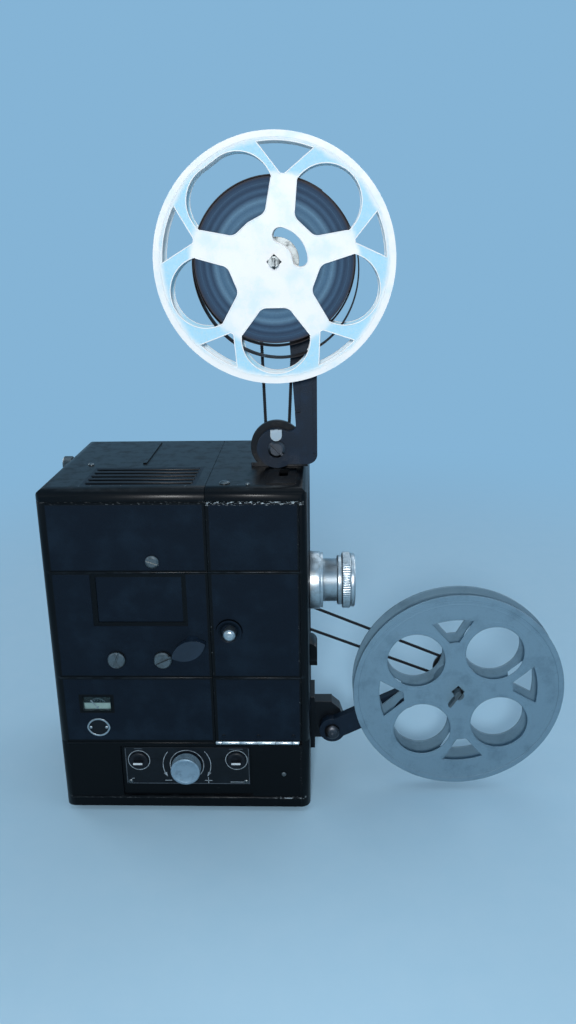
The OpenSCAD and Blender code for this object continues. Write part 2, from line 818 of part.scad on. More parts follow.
// The feed arm goes out to the lens side, up, and back over to the spindle
module upper_arm() {
  pivot = [feed_pivot_x, feed_pivot_z];
  spindle = [feed_x, feed_z];
  right = feed_pivot_x + 32.9;
  color(gloss_black) place() difference() {
    union() {
      front_plate(arm_front, arm_back) {
        translate(pivot) circle(16);
        translate([pivot[0], 292]) square([right - 8 - pivot[0], 27]);
        translate([right - 8, 300]) circle(8);
        difference() {
          translate([194, 316]) square([10, 10]);
          translate([194.6, 325.6]) circle(6.6);
        }
        polygon([
          [200.8, 316], [196, 392], [spindle[0] - 11.2, spindle[1] - 4.5], [spindle[0] + 11.2, spindle[1] + 4.5],
          [right, 402], [right, 300], [right - 16, 300]
        ]);
        translate(spindle) circle(12);
      }
      rod_y(spindle[0], spindle[1], arm_front - 1.8, arm_back + 2.5, 8.5);
    }
    // the web beside the upright lies deeper, and the outer edge is stepped back
    front_plate(arm_front - 1, arm_front + 3) polygon([
      [204.3, 334], [190, 334], [188, 392], [spindle[0] - 8, spindle[1] - 14], [spindle[0] + 4, spindle[1] - 14], [204.3, 405]
    ]);
    front_plate(arm_front - 1, arm_front + 1.2) translate([right - 3.6, 300]) square([8, 100]);
    rod_y(pivot[0], pivot[1], 50, 70, axle_r + fit);
    rod_y(pivot[0], pivot[1] + button_up, 50, 70, 3 + fit);
    rod_y(spindle[0], spindle[1], 50, 80, spindle_r + fit);
  }
}

module pivot_screws() {
  color(steel) place() {
    slotted_head(feed_pivot_x, feed_pivot_z, arm_front - pass, 7, 3.4, 45);
    rod_y(feed_pivot_x, feed_pivot_z, arm_front - pass - 0.5, 86, axle_r);
    turn_y(take_pivot_x, take_pivot_z, arm_front - 6)
      polygon([[0, 0], [4.4, 0.5], [6.6, 2.2], [6.8, 6 - pass], [0, 6 - pass]]);
    rod_y(take_pivot_x, take_pivot_z, arm_front - pass - 0.5, 82, axle_r);
  }
}

module arm_catch_button() {
  z = feed_pivot_z + button_up;
  button_r = 4.6;
  color(nickel) place() {
    front_plate(arm_front - 5, arm_front - 2.3) {
      circle_at([feed_pivot_x, z], button_r);
      translate([feed_pivot_x - button_r * 0.998, z]) square([2 * button_r * 0.998, button_r - 0.4]);
    }
    rod_y(feed_pivot_x, z, arm_front - 2.5, arm_back - 2.6, 3);
  }
}

module rewind_pulley() {
  color(steel) place() turn_y(feed_pivot_x, feed_pivot_z, feed_belt_y - 4.8)
    pulley_section(rewind_pulley_r, rewind_pulley_r + 4, axle_r + fit, 9.6);
}

module upper_belt() {
  color(spring_steel) place()
    belt([feed_pivot_x, feed_pivot_z], rewind_pulley_r, [feed_x, feed_z], feed_pulley_r, feed_belt_y);
}

// A reel spindle: catch fork in front, square drive, collar, journal and pulley
module spindle(at, pulley_r, belt_y, turn) {
  difference() {
    rod_y(at[0], at[1], reel_front - 7, belt_y + 6, spindle_r);
    turned(at, turn) {
      block(-fork_w / 2, reel_front - 8, -5, fork_w / 2, reel_front - 0.2, 5);
      rod_x(catch_y, 0, -3.5, 3.5, catch_pin_r + fit);
    }
  }
  turned(at, 45)
    block(-square_side / 2, reel_back - flange_t - 0.4, -square_side / 2, square_side / 2, reel_back + 0.4, square_side / 2);
  rod_y(at[0], at[1], reel_back, arm_front - 2.1, collar_r);
  turn_y(at[0], at[1], belt_y - 4.5) pulley_section(pulley_r, pulley_r + 2.6, 0, 9);
}

// Places a piece on a spindle's axis, turned about it
module turned(at, turn) {
  translate([at[0], 0, at[1]]) rotate([0, -turn, 0]) children();
}

// The catch is a short flap on a cross pin in the spindle's fork
module spindle_catch(at, turn, fold) {
  turned(at, turn) translate([0, catch_y, 0]) rotate([fold, 0, 0]) {
    rod_x(0, 0, -3.4, 3.4, catch_pin_r);
    block(-1, -13.5, -2.6, 1, 2.4, 2.6);
  }
}

module upper_spindle() {
  color(nickel) place() spindle([feed_x, feed_z], feed_pulley_r, feed_belt_y, 0);
}

module upper_spindle_catch() {
  color(nickel) place() spindle_catch([feed_x, feed_z], 0, 0);
}

// One flange: the disc with its cut-outs, a raised rim outside, a square hole
module reel_flange(at, y0, outside) {
  difference() {
    union() {
      front_plate(y0, y0 + flange_t) difference() {
        circle_at(at, reel_r);
        translate(at) children();
      }
      difference() {
        rod_y(at[0], at[1], outside < 0 ? y0 - 0.6 : y0, y0 + flange_t + (outside < 0 ? 0 : 0.6), reel_r);
        rod_y(at[0], at[1], y0 - 2, y0 + flange_t + 2, reel_r - 4.5);
      }
    }
    translate([at[0], y0, at[1]]) rotate([0, 45, 0]) cube([square_side + 0.2, 8, square_side + 0.2], center = true);
  }
}

module circle_at(at, r) {
  translate(at) circle(r);
}

// Feed reel: five round windows, five slots by the rim, one threading hole
module feed_window() {
  bowl_at = 56.5;
  bowl_r = 25;
  waist = 52.4;
  inner_r = 8;
  inner_at = [40.7, 6.2];
  intersection() {
    translate([bowl_at, 0]) circle(bowl_r);
    translate([waist, -bowl_r]) square(2 * bowl_r);
  }
  // narrowing between two arms of the hub
  for (side = [-1, 1]) {
    translate([inner_at[0], side * inner_at[1]]) circle(inner_r);
  }
  polygon([
    [waist + 0.3, 24.5], [35.95, 12.5], [inner_at[0], inner_at[1]], [inner_at[0] - inner_r * 0.998, inner_at[1]],
    [inner_at[0] - inner_r * 0.998, -inner_at[1]], [inner_at[0], -inner_at[1]], [35.95, -12.5], [waist + 0.3, -24.5]
  ]);
}

module feed_cutouts() {
  arm_step = 72;
  lean = -1.5;
  for (i = [0:4]) {
    rotate(arm_step * i - 90 + lean) feed_window();
    rotate(arm_step * i + 90 + lean) rim_slot(60.5, 83, 15);
  }
  intersection() {
    difference() {
      circle(25);
      circle(12.5);
    }
    polygon([[0, 0], [40, -7], [44, 20], [24, 40], [0.8, 40]]);
  }
}

// Take-up reel: four round windows and four slots
module take_cutouts() {
  for (i = [0:3]) {
    rotate(90 * i + 51) translate([46.5, 0]) circle(24.5);
    rotate(90 * i + 96) rim_slot(46, 67, 18.5);
  }
}

module rim_slot(from, to, half_angle) {
  tip = from - 6;
  far = to * 1.2;
  intersection() {
    difference() {
      circle(to);
      circle(from);
    }
    polygon([[tip, 0], [far * cos(half_angle), -far * sin(half_angle)], [far * cos(half_angle), far * sin(half_angle)]]);
  }
}

module upper_reel_front_flange() {
  color(bright_aluminium) place() reel_flange([feed_x, feed_z], reel_front, -1) feed_cutouts();
}

module upper_reel_rear_flange() {
  color(bright_aluminium) place() reel_flange([feed_x, feed_z], reel_back - flange_t, 1) feed_cutouts();
}

module reel_core(at) {
  front_plate(reel_front + flange_t, reel_back - flange_t) translate(at) difference() {
    circle(core_r);
    circle(core_r - core_wall);
  }
}

module upper_reel_core() {
  color(bright_aluminium) place() reel_core([feed_x, feed_z]);
}

// The film's last two turns hang loose, lowest under the pack
film_t = 0.6;
loose_turns = 2.1;
turn_steps = 48;
function ease(u) = u * u * (3 - 2 * u);
function lift_off(u) = -0.6 + 1.6 * min(1, u * 12);
function sag(u) = 2.2 * min(1, u * 2) + 9 * ease(min(1, max(0, u - 0.75) / 0.75));
function turn_angle(u) = 90 - 360 * u;
function turn_r(u) = film_pack_r + lift_off(u) + 1.3 * u + sag(u) * (1 - sin(turn_angle(u))) / 2;
function turn_point(u, side) = (turn_r(u) + side * film_t / 2) * [cos(turn_angle(u)), sin(turn_angle(u))];
turn_marks = [for (i = [0:turn_steps * loose_turns]) i / turn_steps];
turn_gaps = [for (u = turn_marks) if (u + 1 <= loose_turns) turn_r(u + 1) - turn_r(u) - film_t];
echo(least_gap_between_film_turns_mm = min(turn_gaps));

module film_roll() {
  near = film_y - film_w / 2;
  far = film_y + film_w / 2;
  color(film_base) place() {
    front_plate(near, far) translate([feed_x, feed_z]) difference() {
      circle(film_pack_r);
      circle(core_r);
    }
    front_plate(near, far) translate([feed_x, feed_z]) polygon(concat(
      [for (u = turn_marks) turn_point(u, 1)],
      [for (i = [len(turn_marks) - 1:-1:0]) turn_point(turn_marks[i], -1)]
    ));
  }
}

module lower_bracket() {
  pivot = [take_pivot_x, take_pivot_z];
  front = arm_back + pass;
  color(gloss_black) place() difference() {
    union() {
      block(body_w, front - 6, 25, body_w + 4, 90, 77);
      front_plate(front, front + 14) {
        translate(pivot) circle(13);
        translate([body_w + 2, pivot[1] - 12]) square([pivot[0] - body_w - 2, 36.5]);
        polygon([[pivot[0] - 4, pivot[1]], [pivot[0] + 12.9, pivot[1]], [pivot[0] + 7, 62], [pivot[0] - 1, 69], [pivot[0] - 4, 69]]);
      }
    }
    rod_y(pivot[0], pivot[1], 50, 90, axle_r);
  }
}

module lower_arm() {
  pivot = [take_pivot_x, take_pivot_z];
  spindle = [take_x, take_z];
  color(gloss_black) place() difference() {
    union() {
      front_plate(arm_front, arm_back) link(pivot, spindle, 11.5, 11, 19);
      rod_y(spindle[0], spindle[1], arm_front - 1.8, arm_back + 2, 8.5);
    }
    rod_y(pivot[0], pivot[1], 50, 70, axle_r + fit);
    rod_y(spindle[0], spindle[1], 50, 80, spindle_r + fit);
  }
}

module takeup_belt() {
  color(spring_steel) place()
    belt([take_x, take_z], take_pulley_r, [drive_pulley_x, drive_pulley_z], drive_pulley_r, take_belt_y);
}

// The take-up catch lies folded across the reel, so its spindle's fork is turned
module lower_spindle() {
  color(nickel) place() {
    spindle([take_x, take_z], take_pulley_r, take_belt_y, fork_turn);
    // friction disc behind the pulley
    rod_y(take_x, take_z, take_belt_y + 4, take_belt_y + 6, 16);
  }
}

module lower_spindle_catch() {
  color(nickel) place() spindle_catch([take_x, take_z], fork_turn, 90);
}

module lower_reel_front_flange() {
  color(dull_aluminium) place() reel_flange([take_x, take_z], reel_front, -1) take_cutouts();
}

module lower_reel_rear_flange() {
  color(dull_aluminium) place() reel_flange([take_x, take_z], reel_back - flange_t, 1) take_cutouts();
}

module lower_reel_core() {
  color(dull_aluminium) place() reel_core([take_x, take_z]);
}

base_casting();
rubber_feet();
lamp_house_casing();
mechanism_casing();
control_panel();
cover_screws();
ammeter_case();
ammeter_needle();
door_hinge_leaf();
door_hinge_pin();
film_door();
door_knob();
speed_knob();
lamp_switch_knob();
direction_switch_knob();
still_lever();
lamp_adjuster_left();
lamp_adjuster_right();
side_knob();
power_inlet();
lens_mount();
lens_barrel();
focus_ring();
lens_glass();
mechanism_plate();
film_gate();
pressure_plate();
claw_arm();
shutter();
upper_sprocket();
lower_sprocket();
takeup_drive_pulley();
drive_motor();
motor_rotor();
drive_belt();
projection_lamp();
lamp_socket();
lamp_reflector();
condenser_tube();
condenser_lenses();
upper_bracket();
upper_arm();
pivot_screws();
arm_catch_button();
rewind_pulley();
upper_belt();
upper_spindle();
upper_spindle_catch();
upper_reel_front_flange();
upper_reel_rear_flange();
upper_reel_core();
film_roll();
lower_bracket();
lower_arm();
takeup_belt();
lower_spindle();
lower_spindle_catch();
lower_reel_front_flange();
lower_reel_rear_flange();
lower_reel_core();
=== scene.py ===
"""Film projector: finishes, small trim and studio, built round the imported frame."""

import json
import logging
import math
import random
from dataclasses import dataclass
from enum import Enum
from typing import Callable, Sequence

import bmesh
import bpy
from mathutils import Matrix, Vector
from mathutils.geometry import delaunay_2d_cdt

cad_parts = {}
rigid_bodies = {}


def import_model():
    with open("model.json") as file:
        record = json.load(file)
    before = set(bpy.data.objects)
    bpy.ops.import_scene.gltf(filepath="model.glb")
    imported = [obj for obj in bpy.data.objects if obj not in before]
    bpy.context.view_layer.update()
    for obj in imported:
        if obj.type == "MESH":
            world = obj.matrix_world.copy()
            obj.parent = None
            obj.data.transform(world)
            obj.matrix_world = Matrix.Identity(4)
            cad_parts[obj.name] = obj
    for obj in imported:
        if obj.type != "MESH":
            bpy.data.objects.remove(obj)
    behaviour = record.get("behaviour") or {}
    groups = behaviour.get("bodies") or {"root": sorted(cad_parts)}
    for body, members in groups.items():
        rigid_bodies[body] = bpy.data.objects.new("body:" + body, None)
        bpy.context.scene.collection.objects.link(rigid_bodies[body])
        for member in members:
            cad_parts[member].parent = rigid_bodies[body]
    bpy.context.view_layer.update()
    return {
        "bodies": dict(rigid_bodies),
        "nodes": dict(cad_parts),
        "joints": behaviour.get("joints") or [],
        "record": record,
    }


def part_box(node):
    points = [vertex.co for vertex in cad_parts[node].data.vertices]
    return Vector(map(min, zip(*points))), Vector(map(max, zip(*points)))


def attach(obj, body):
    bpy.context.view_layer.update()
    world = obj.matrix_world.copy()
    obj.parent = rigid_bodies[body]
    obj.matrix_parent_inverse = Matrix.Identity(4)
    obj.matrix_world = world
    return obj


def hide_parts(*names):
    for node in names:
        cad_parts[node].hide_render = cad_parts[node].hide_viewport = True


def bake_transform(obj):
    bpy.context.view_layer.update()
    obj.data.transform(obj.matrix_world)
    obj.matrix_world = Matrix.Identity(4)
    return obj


LOG = logging.getLogger("projector")
MM = 0.001

Point2 = tuple[float, float]
Colour = tuple[float, float, float]
Outline = list[Point2]


class Sig:
    """One output of a shader graph; arithmetic on it adds Math nodes."""

    def __init__(self, graph: "Graph", socket: bpy.types.NodeSocket) -> None:
        """Keep the graph and the socket."""
        self.graph = graph
        self.socket = socket

    def math(self, operation: str, *values: "Sig | float") -> "Sig":
        """Add a Math node.

        Args:
            operation: Blender's name of the operation.
            values: the inputs, in order.

        Returns:
            The node's output.
        """
        made = self.graph.node("ShaderNodeMath", {"operation": operation}, dict(enumerate(values)))
        return Sig(self.graph, made.outputs[0])

    def __add__(self, other: "Sig | float") -> "Sig":
        """Sum."""
        return self.math("ADD", self, other)

    def __radd__(self, other: float) -> "Sig":
        """Sum with a number on the left."""
        return self.math("ADD", other, self)

    def __sub__(self, other: "Sig | float") -> "Sig":
        """Difference."""
        return self.math("SUBTRACT", self, other)

    def __rsub__(self, other: float) -> "Sig":
        """Difference with a number on the left."""
        return self.math("SUBTRACT", other, self)

    def __mul__(self, other: "Sig | float") -> "Sig":
        """Product."""
        return self.math("MULTIPLY", self, other)

    def __rmul__(self, other: float) -> "Sig":
        """Product with a number on the left."""
        return self.math("MULTIPLY", other, self)

    def __truediv__(self, other: "Sig | float") -> "Sig":
        """Quotient."""
        return self.math("DIVIDE", self, other)

    def __rtruediv__(self, other: float) -> "Sig":
        """Quotient with a number on the left."""
        return self.math("DIVIDE", other, self)

    def __abs__(self) -> "Sig":
        """Size without sign."""
        return self.math("ABSOLUTE", self)

    def most(self, other: "Sig | float") -> "Sig":
        """The larger of two values."""
        return self.math("MAXIMUM", self, other)

    def least(self, other: "Sig | float") -> "Sig":
        """The smaller of two values."""
        return self.math("MINIMUM", self, other)

    def root(self) -> "Sig":
        """Square root."""
        return self.math("SQRT", self)

    def rise(self, low: float, high: float) -> "Sig":
        """Smooth step from 0 at low to 1 at high.

        Args:
            low: where the step starts.
            high: where it ends.

        Returns:
            The step.
        """
        made = self.graph.node(
            "ShaderNodeMapRange",
            {"interpolation_type": "SMOOTHSTEP"},
            {"Value": self, "From Min": low, "From Max": high},
        )
        return Sig(self.graph, made.outputs[0])

    def between(self, low: float, high: float, soft: float = 0.5) -> "Sig":
        """Smooth window: 1 between low and high, 0 outside.

        Args:
            low: lower edge.
            high: upper edge.
            soft: half the width of each edge.

        Returns:
            The window.
        """
        return self.rise(low - soft, low + soft) * (1.0 - self.rise(high - soft, high + soft))


class Graph:
    """A material's node tree, with one way to add any node."""

    def __init__(self, name: str, owner: bpy.types.World | None = None) -> None:
        """Start an empty material, or clear a world's nodes.

        Args:
            name: the material's name.
            owner: the world, where the nodes are a world's.
        """
        self.material = owner or bpy.data.materials.new(name)
        self.material.use_nodes = True
        self.tree = self.material.node_tree
        self.tree.nodes.clear()

    def node(self, kind: str, settings: dict | None = None, inputs: dict | None = None) -> bpy.types.Node:
        """Add a node.

        Args:
            kind: Blender's node type.
            settings: the node's own options, set first; "stops" fills a colour ramp.
            inputs: socket name or index to a value or a Sig.

        Returns:
            The node.
        """
        made = self.tree.nodes.new(kind)
        for key, value in (settings or {}).items():
            if key == "stops":
                self._fill_ramp(made.color_ramp, value)
            else:
                setattr(made, key, value)
        for key, value in (inputs or {}).items():
            socket = made.inputs[key]
            if isinstance(value, Sig):
                self.tree.links.new(value.socket, socket)
            elif isinstance(value, tuple) and socket.type == "RGBA":
                socket.default_value = (*value, 1.0)
            else:
                socket.default_value = value
        return made

    @staticmethod
    def _fill_ramp(ramp: bpy.types.ColorRamp, stops: Sequence[tuple[float, Colour]]) -> None:
        """Give a colour ramp its stops.

        Args:
            ramp: the ramp to fill.
            stops: place and colour of each stop.
        """
        while len(ramp.elements) < len(stops):
            ramp.elements.new(1.0)
        for element, (place, colour) in zip(ramp.elements, stops):
            element.position = place
            element.color = (*colour, 1.0)

    def sig(self, node: bpy.types.Node, output: int | str = 0) -> Sig:
        """One output of a node."""
        return Sig(self, node.outputs[output])

    def place(self) -> Sig:
        """Position in the row frame, in metres; it stays with the piece when that moves."""
        return self.sig(self.node("ShaderNodeTexCoord"), "Object")

    def facing(self) -> tuple[Sig, Sig, Sig]:
        """The three parts of the surface normal, in the piece's own frame."""
        return self.split(self.sig(self.node("ShaderNodeTexCoord"), "Normal"))

    def split(self, vector: Sig) -> tuple[Sig, Sig, Sig]:
        """The three parts of a vector."""
        made = self.node("ShaderNodeSeparateXYZ", None, {0: vector})
        return self.sig(made, 0), self.sig(made, 1), self.sig(made, 2)

    def join(self, x: Sig | float, y: Sig | float, z: Sig | float) -> Sig:
        """A vector from its three parts."""
        return self.sig(self.node("ShaderNodeCombineXYZ", None, {0: x, 1: y, 2: z}))

    def vector(self, operation: str, *values: "Sig | tuple[float, float, float]") -> Sig:
        """Add a Vector Math node.

        Args:
            operation: Blender's name of the operation.
            values: the inputs, in order.

        Returns:
            The node's vector output.
        """
        return self.sig(self.node("ShaderNodeVectorMath", {"operation": operation}, dict(enumerate(values))))

    def noise(self, vector: Sig, scale: float, detail: float = 3.0, rough: float = 0.55) -> Sig:
        """Fractal noise, about 0.5 on average.

        Args:
            vector: where to read it.
            scale: features per unit of the vector.
            detail: octaves.
            rough: how much the fine octaves count.

        Returns:
            The noise value.
        """
        inputs = {"Vector": vector, "Scale": scale, "Detail": detail, "Roughness": rough}
        return self.sig(self.node("ShaderNodeTexNoise", None, inputs))

    def cells(self, vector: Sig, scale: float, feature: str = "SMOOTH_F1") -> Sig:
        """Voronoi distance.

        Args:
            vector: where to read it.
            scale: cells per unit of the vector.
            feature: Blender's name of the distance.

        Returns:
            The distance.
        """
        inputs = {"Vector": vector, "Scale": scale}
        return self.sig(self.node("ShaderNodeTexVoronoi", {"feature": feature}, inputs))

    def tint(self, share: Sig | float, first: Sig | Colour, second: Sig | Colour) -> Sig:
        """Colour mix.

        Args:
            share: how much of the second colour.
            first: colour at 0.
            second: colour at 1.

        Returns:
            The mixed colour.
        """
        made = self.node("ShaderNodeMix", {"data_type": "RGBA"}, {0: share, 6: first, 7: second})
        return self.sig(made, 2)

    def ramp(self, value: Sig, stops: Sequence[tuple[float, Colour]]) -> Sig:
        """Colour along a value.

        Args:
            value: where to read the ramp, 0 to 1.
            stops: place and colour of each stop.

        Returns:
            The colour.
        """
        return self.sig(self.node("ShaderNodeValToRGB", {"stops": stops}, {0: value}))

    def bump(self, height: Sig, depth_mm: float, strength: float = 1.0) -> Sig:
        """Surface relief as a normal.

        Args:
            height: relief from 0 to 1.
            depth_mm: what 1 stands for.
            strength: share of the relief that shows.

        Returns:
            The normal.
        """
        inputs = {"Strength": strength, "Distance": depth_mm * MM, "Height": height}
        return self.sig(self.node("ShaderNodeBump", None, inputs))

    def close(self, **sockets: "Sig | float | Colour") -> bpy.types.Material:
        """Finish with a Principled surface.

        Args:
            sockets: the shader's sockets, spaces written as underscores.

        Returns:
            The material.
        """
        inputs = {key.replace("_", " "): value for key, value in sockets.items()}
        shader = self.node("ShaderNodeBsdfPrincipled", None, inputs)
        self.node("ShaderNodeOutputMaterial", None, {"Surface": self.sig(shader)})
        return self.material


@dataclass(frozen=True)
class Machine:
    """Where the machine stands: its lamp-side front corner on the table, in metres."""

    corner: Vector
    depth_mm: float = 168.0

    @classmethod
    def from_frame(cls) -> "Machine":
        """Read the corner from the casings' boxes."""
        lamp_low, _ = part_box("lamp_house_casing")
        _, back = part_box("mechanism_casing")
        return cls(Vector((lamp_low.x, back.y - cls.depth_mm * MM, 0.0)))

    def at(self, x: float, y: float, z: float) -> Vector:
        """A point given in millimetres from the machine's corner, in the row frame."""
        return self.corner + Vector((x, y, z)) * MM

    def front(self, x: float = 0.0, z: float = 0.0, y: float = 0.0) -> Matrix:
        """Local frame in millimetres on the front: x right, y up, z towards the viewer.

        Args:
            x: origin across.
            z: origin above the table.
            y: origin behind the front face.

        Returns:
            The frame's matrix.
        """
        turn = Matrix(((1, 0, 0), (0, 0, -1), (0, 1, 0))).to_4x4()
        return Matrix.Translation(self.at(x, y, z)) @ turn @ Matrix.Scale(MM, 4)

    def flank(self, y: float, z: float, x: float, outward: int) -> Matrix:
        """Local frame in millimetres whose z axis runs along the machine's width.

        Args:
            y: origin behind the front face.
            z: origin above the table.
            x: origin across.
            outward: 1 for the lens side, -1 for the lamp side.

        Returns:
            The frame's matrix.
        """
        turn = Matrix(((0, 0, outward), (outward, 0, 0), (0, 1, 0))).to_4x4()
        return Matrix.Translation(self.at(x, y, z)) @ turn @ Matrix.Scale(MM, 4)

    def spot(self, graph: Graph) -> Sig:
        """Position in millimetres from the machine's corner, in a material."""
        moved = graph.vector("SUBTRACT", graph.place(), tuple(self.corner))
        return graph.vector("MULTIPLY", moved, (1 / MM, 1 / MM, 1 / MM))


@dataclass(frozen=True)
class CaseEnamel:
    """Black case paint: pebbled fields inside smooth glossy rims, chipped along the lid, with painted light on the
    louvre rods and a painted highlight on the beads.
    """

    field_colour: Colour = (0.0019, 0.006, 0.0124)
    rim_colour: Colour = (0.0006, 0.0012, 0.002)
    haze_colour: Colour = (0.007, 0.017, 0.03)
    # Pale tint for the louvre rods' upward faces: painted light.
    louvre_painted_light: Colour = (0.018, 0.034, 0.05)
    plate_colour: Colour = (0.5, 0.54, 0.54)
    bare_colour: Colour = (0.34, 0.38, 0.40)
    pebble_mm: float = 1.15

    def build(self, machine: Machine) -> bpy.types.Material:
        """Make the material.

        Args:
            machine: gives the places of fields and edges.

        Returns:
            The material.
        """
        g = Graph("case_enamel")
        spot = machine.spot(g)
        x, y, z = g.split(spot)
        nx, ny, nz = g.facing()
        front = abs(ny).rise(0.75, 0.95)
        flank = abs(nx).rise(0.75, 0.95)
        across = x.between(8.5, 129.3) + x.between(134.2, 201.8)
        along = y.between(10.0, 158.0)
        upright = z.between(70.0, 126.2) + z.between(129.8, 218.2) + z.between(221.8, 275.2)
        recess = x.between(38.2, 113.8, 0.2) * z.between(174.2, 218.4, 0.2)
        face = (0.0 - ny).rise(0.75, 0.95)
        recess = face * recess * (1.0 - x.between(42.3, 110.0, 0.2) * z.between(177.3, 215.7, 0.2))
        frame = face * x.between(20.0, 49.0, 0.2) * z.between(95.2, 112.4, 0.2)
        field = (front * across + flank * along) * upright * (1.0 - recess) * (1.0 - frame)
        louvres = nz.rise(0.3, 0.6) * x.between(34.0, 124.0) * y.between(10.0, 64.0)
        hinge = (1.0 - y.rise(-0.15, -0.03)) * z.between(64.5, 70.0, 0.2) * x.between(131.0, 203.0, 0.3)
        lid = nz.rise(0.6, 0.9)
        grain = g.cells(spot, 1.0 / self.pebble_mm)
        ripple = g.noise(spot, 0.9, 2.0)
        cloud = g.noise(spot, 0.035, 4.0, 0.6)
        fleck = g.noise(g.vector("MULTIPLY", spot, (0.35, 0.5, 0.8)), 1.0, 4.0, 0.7)
        lid_line = face * z.between(275.7, 277.6, 0.25)
        door_side = x.rise(131.0, 132.5)
        lid_chips = lid_line * (fleck + 0.06 * door_side).rise(0.58, 0.63) * (0.3 + 0.7 * door_side)
        strip = face * door_side * z.between(274.6, 276.9, 0.3) * (fleck - 0.01).rise(0.56, 0.6)
        edge = face * (x.between(201.9, 203.4, 0.3) + 0.8 * x.between(131.4, 132.6, 0.3))
        edge_chips = edge * fleck.rise(0.63, 0.67)
        foot_end = 0.12 + 0.88 * x.rise(178.0, 186.0)
        foot_line = face * z.between(12.8, 15.0, 0.3) * (fleck + 0.03).rise(0.56, 0.6) * foot_end
        corner = lid * (y.between(7.0, 11.5, 0.6) * fleck.rise(0.66, 0.7))
        chips = lid_chips.most(strip).most(edge_chips).most(foot_line).most(corner).least(1.0)
        bead = front * (z.between(127.2, 128.9, 0.3) + z.between(219.2, 220.9, 0.3))
        # Painted highlight: the raised beads are tinted paler in patches, standing in for light catching them.
        bead_highlight = bead * g.noise(spot, 0.12, 3.0).rise(0.4, 0.62)
        dust = lid * g.noise(spot, 0.09, 5.0, 0.65).rise(0.45, 0.75)
        paint = g.tint(field, self.rim_colour, self.field_colour)
        paint = g.tint(cloud.rise(0.42, 0.75) * 0.5 * field, paint, self.haze_colour)
        paint = g.tint(bead_highlight * 0.4, paint, (0.022, 0.032, 0.042))
        # Painted light: the louvre rods' upward faces are tinted paler, standing in for light falling on them.
        paint = g.tint(louvres * (0.5 + 0.5 * cloud), paint, self.louvre_painted_light)
        paint = g.tint(dust * 0.3, paint, (0.03, 0.042, 0.052))
        colour = g.tint(hinge, g.tint(chips, paint, self.bare_colour), self.plate_colour)
        pebbles = field * (1.0 - grain) + (1.0 - field) * 0.22 * ripple
        dulled = field * (0.3 + 0.14 * cloud) + (dust + louvres).least(1.0) * 0.25
        return g.close(
            Base_Color=colour,
            Metallic=(chips * 0.55).most(hinge),
            Roughness=0.3 + dulled + 0.1 * ripple + chips * 0.15,
            Specular_IOR_Level=0.1,
            Coat_Weight=(1.0 - field) * (1.0 - louvres) * 0.08 * (1.0 - chips),
            Coat_Roughness=0.22,
            Normal=g.bump(pebbles - chips * 0.6, 0.2, 0.75),
        )


@dataclass(frozen=True)
class Lacquer:
    """Black lacquer on castings and small parts, with a ripple that may be coarse."""

    name: str
    colour: Colour
    ripple_mm: float
    relief_mm: float
    sheen: float = 0.34
    coat: float = 0.12
    gloss: float = 0.16

    def build(self, machine: Machine) -> bpy.types.Material:
        """Make the material.

        Args:
            machine: gives the millimetre frame.

        Returns:
            The material.
        """
        g = Graph(self.name)
        spot = machine.spot(g)
        ripple = g.noise(spot, 1.0 / self.ripple_mm, 2.0)
        cloud = g.noise(spot, 0.06, 4.0, 0.6)
        scratch = g.noise(g.vector("MULTIPLY", spot, (0.08, 0.3, 2.6)), 1.0, 3.0, 0.6).rise(0.68, 0.74)
        chip = g.noise(spot, 0.42, 5.0, 0.7).rise(0.75, 0.78)
        worn = g.tint(cloud.rise(0.45, 0.75) * 0.4, self.colour, tuple(2.6 * c for c in self.colour))
        worn = g.tint(scratch * 0.3, worn, (0.04, 0.048, 0.056))
        return g.close(
            Base_Color=g.tint(chip * 0.8, worn, (0.3, 0.31, 0.31)),
            Metallic=chip * 0.4,
            Roughness=self.sheen + 0.16 * cloud + 0.12 * scratch,
            Specular_IOR_Level=self.gloss,
            Coat_Weight=self.coat * (1.0 - chip),
            Coat_Roughness=0.16,
            Normal=g.bump(ripple, self.relief_mm, 0.8),
        )


@dataclass(frozen=True)
class BareMetal:
    """Plated or bare metal with handling marks, tarnish in patches and a fine brushing."""

    name: str
    colour: Colour
    tarnish: Colour
    rough: float
    tarnish_share: float = 0.5
    metal: float = 1.0
    brush: tuple[float, float, float] = (0.25, 0.25, 3.0)

    def build(self, machine: Machine) -> bpy.types.Material:
        """Make the material.

        Args:
            machine: gives the millimetre frame.

        Returns:
            The material.
        """
        g = Graph(self.name)
        spot = machine.spot(g)
        brushed = g.noise(g.vector("MULTIPLY", spot, self.brush), 1.0, 3.0, 0.7)
        patch = g.noise(spot, 0.16, 5.0, 0.65).rise(0.46, 0.72)
        pit = g.noise(spot, 1.1, 3.0, 0.7).rise(0.66, 0.74)
        colour = g.tint(patch * self.tarnish_share, self.colour, self.tarnish)
        return g.close(
            Base_Color=g.tint(pit * 0.5, colour, tuple(0.4 * c for c in self.tarnish)),
            Metallic=self.metal,
            Roughness=self.rough + 0.14 * patch + 0.1 * brushed + 0.12 * pit,
            Normal=g.bump(brushed - 0.5 * pit, 0.03, 0.6),
        )


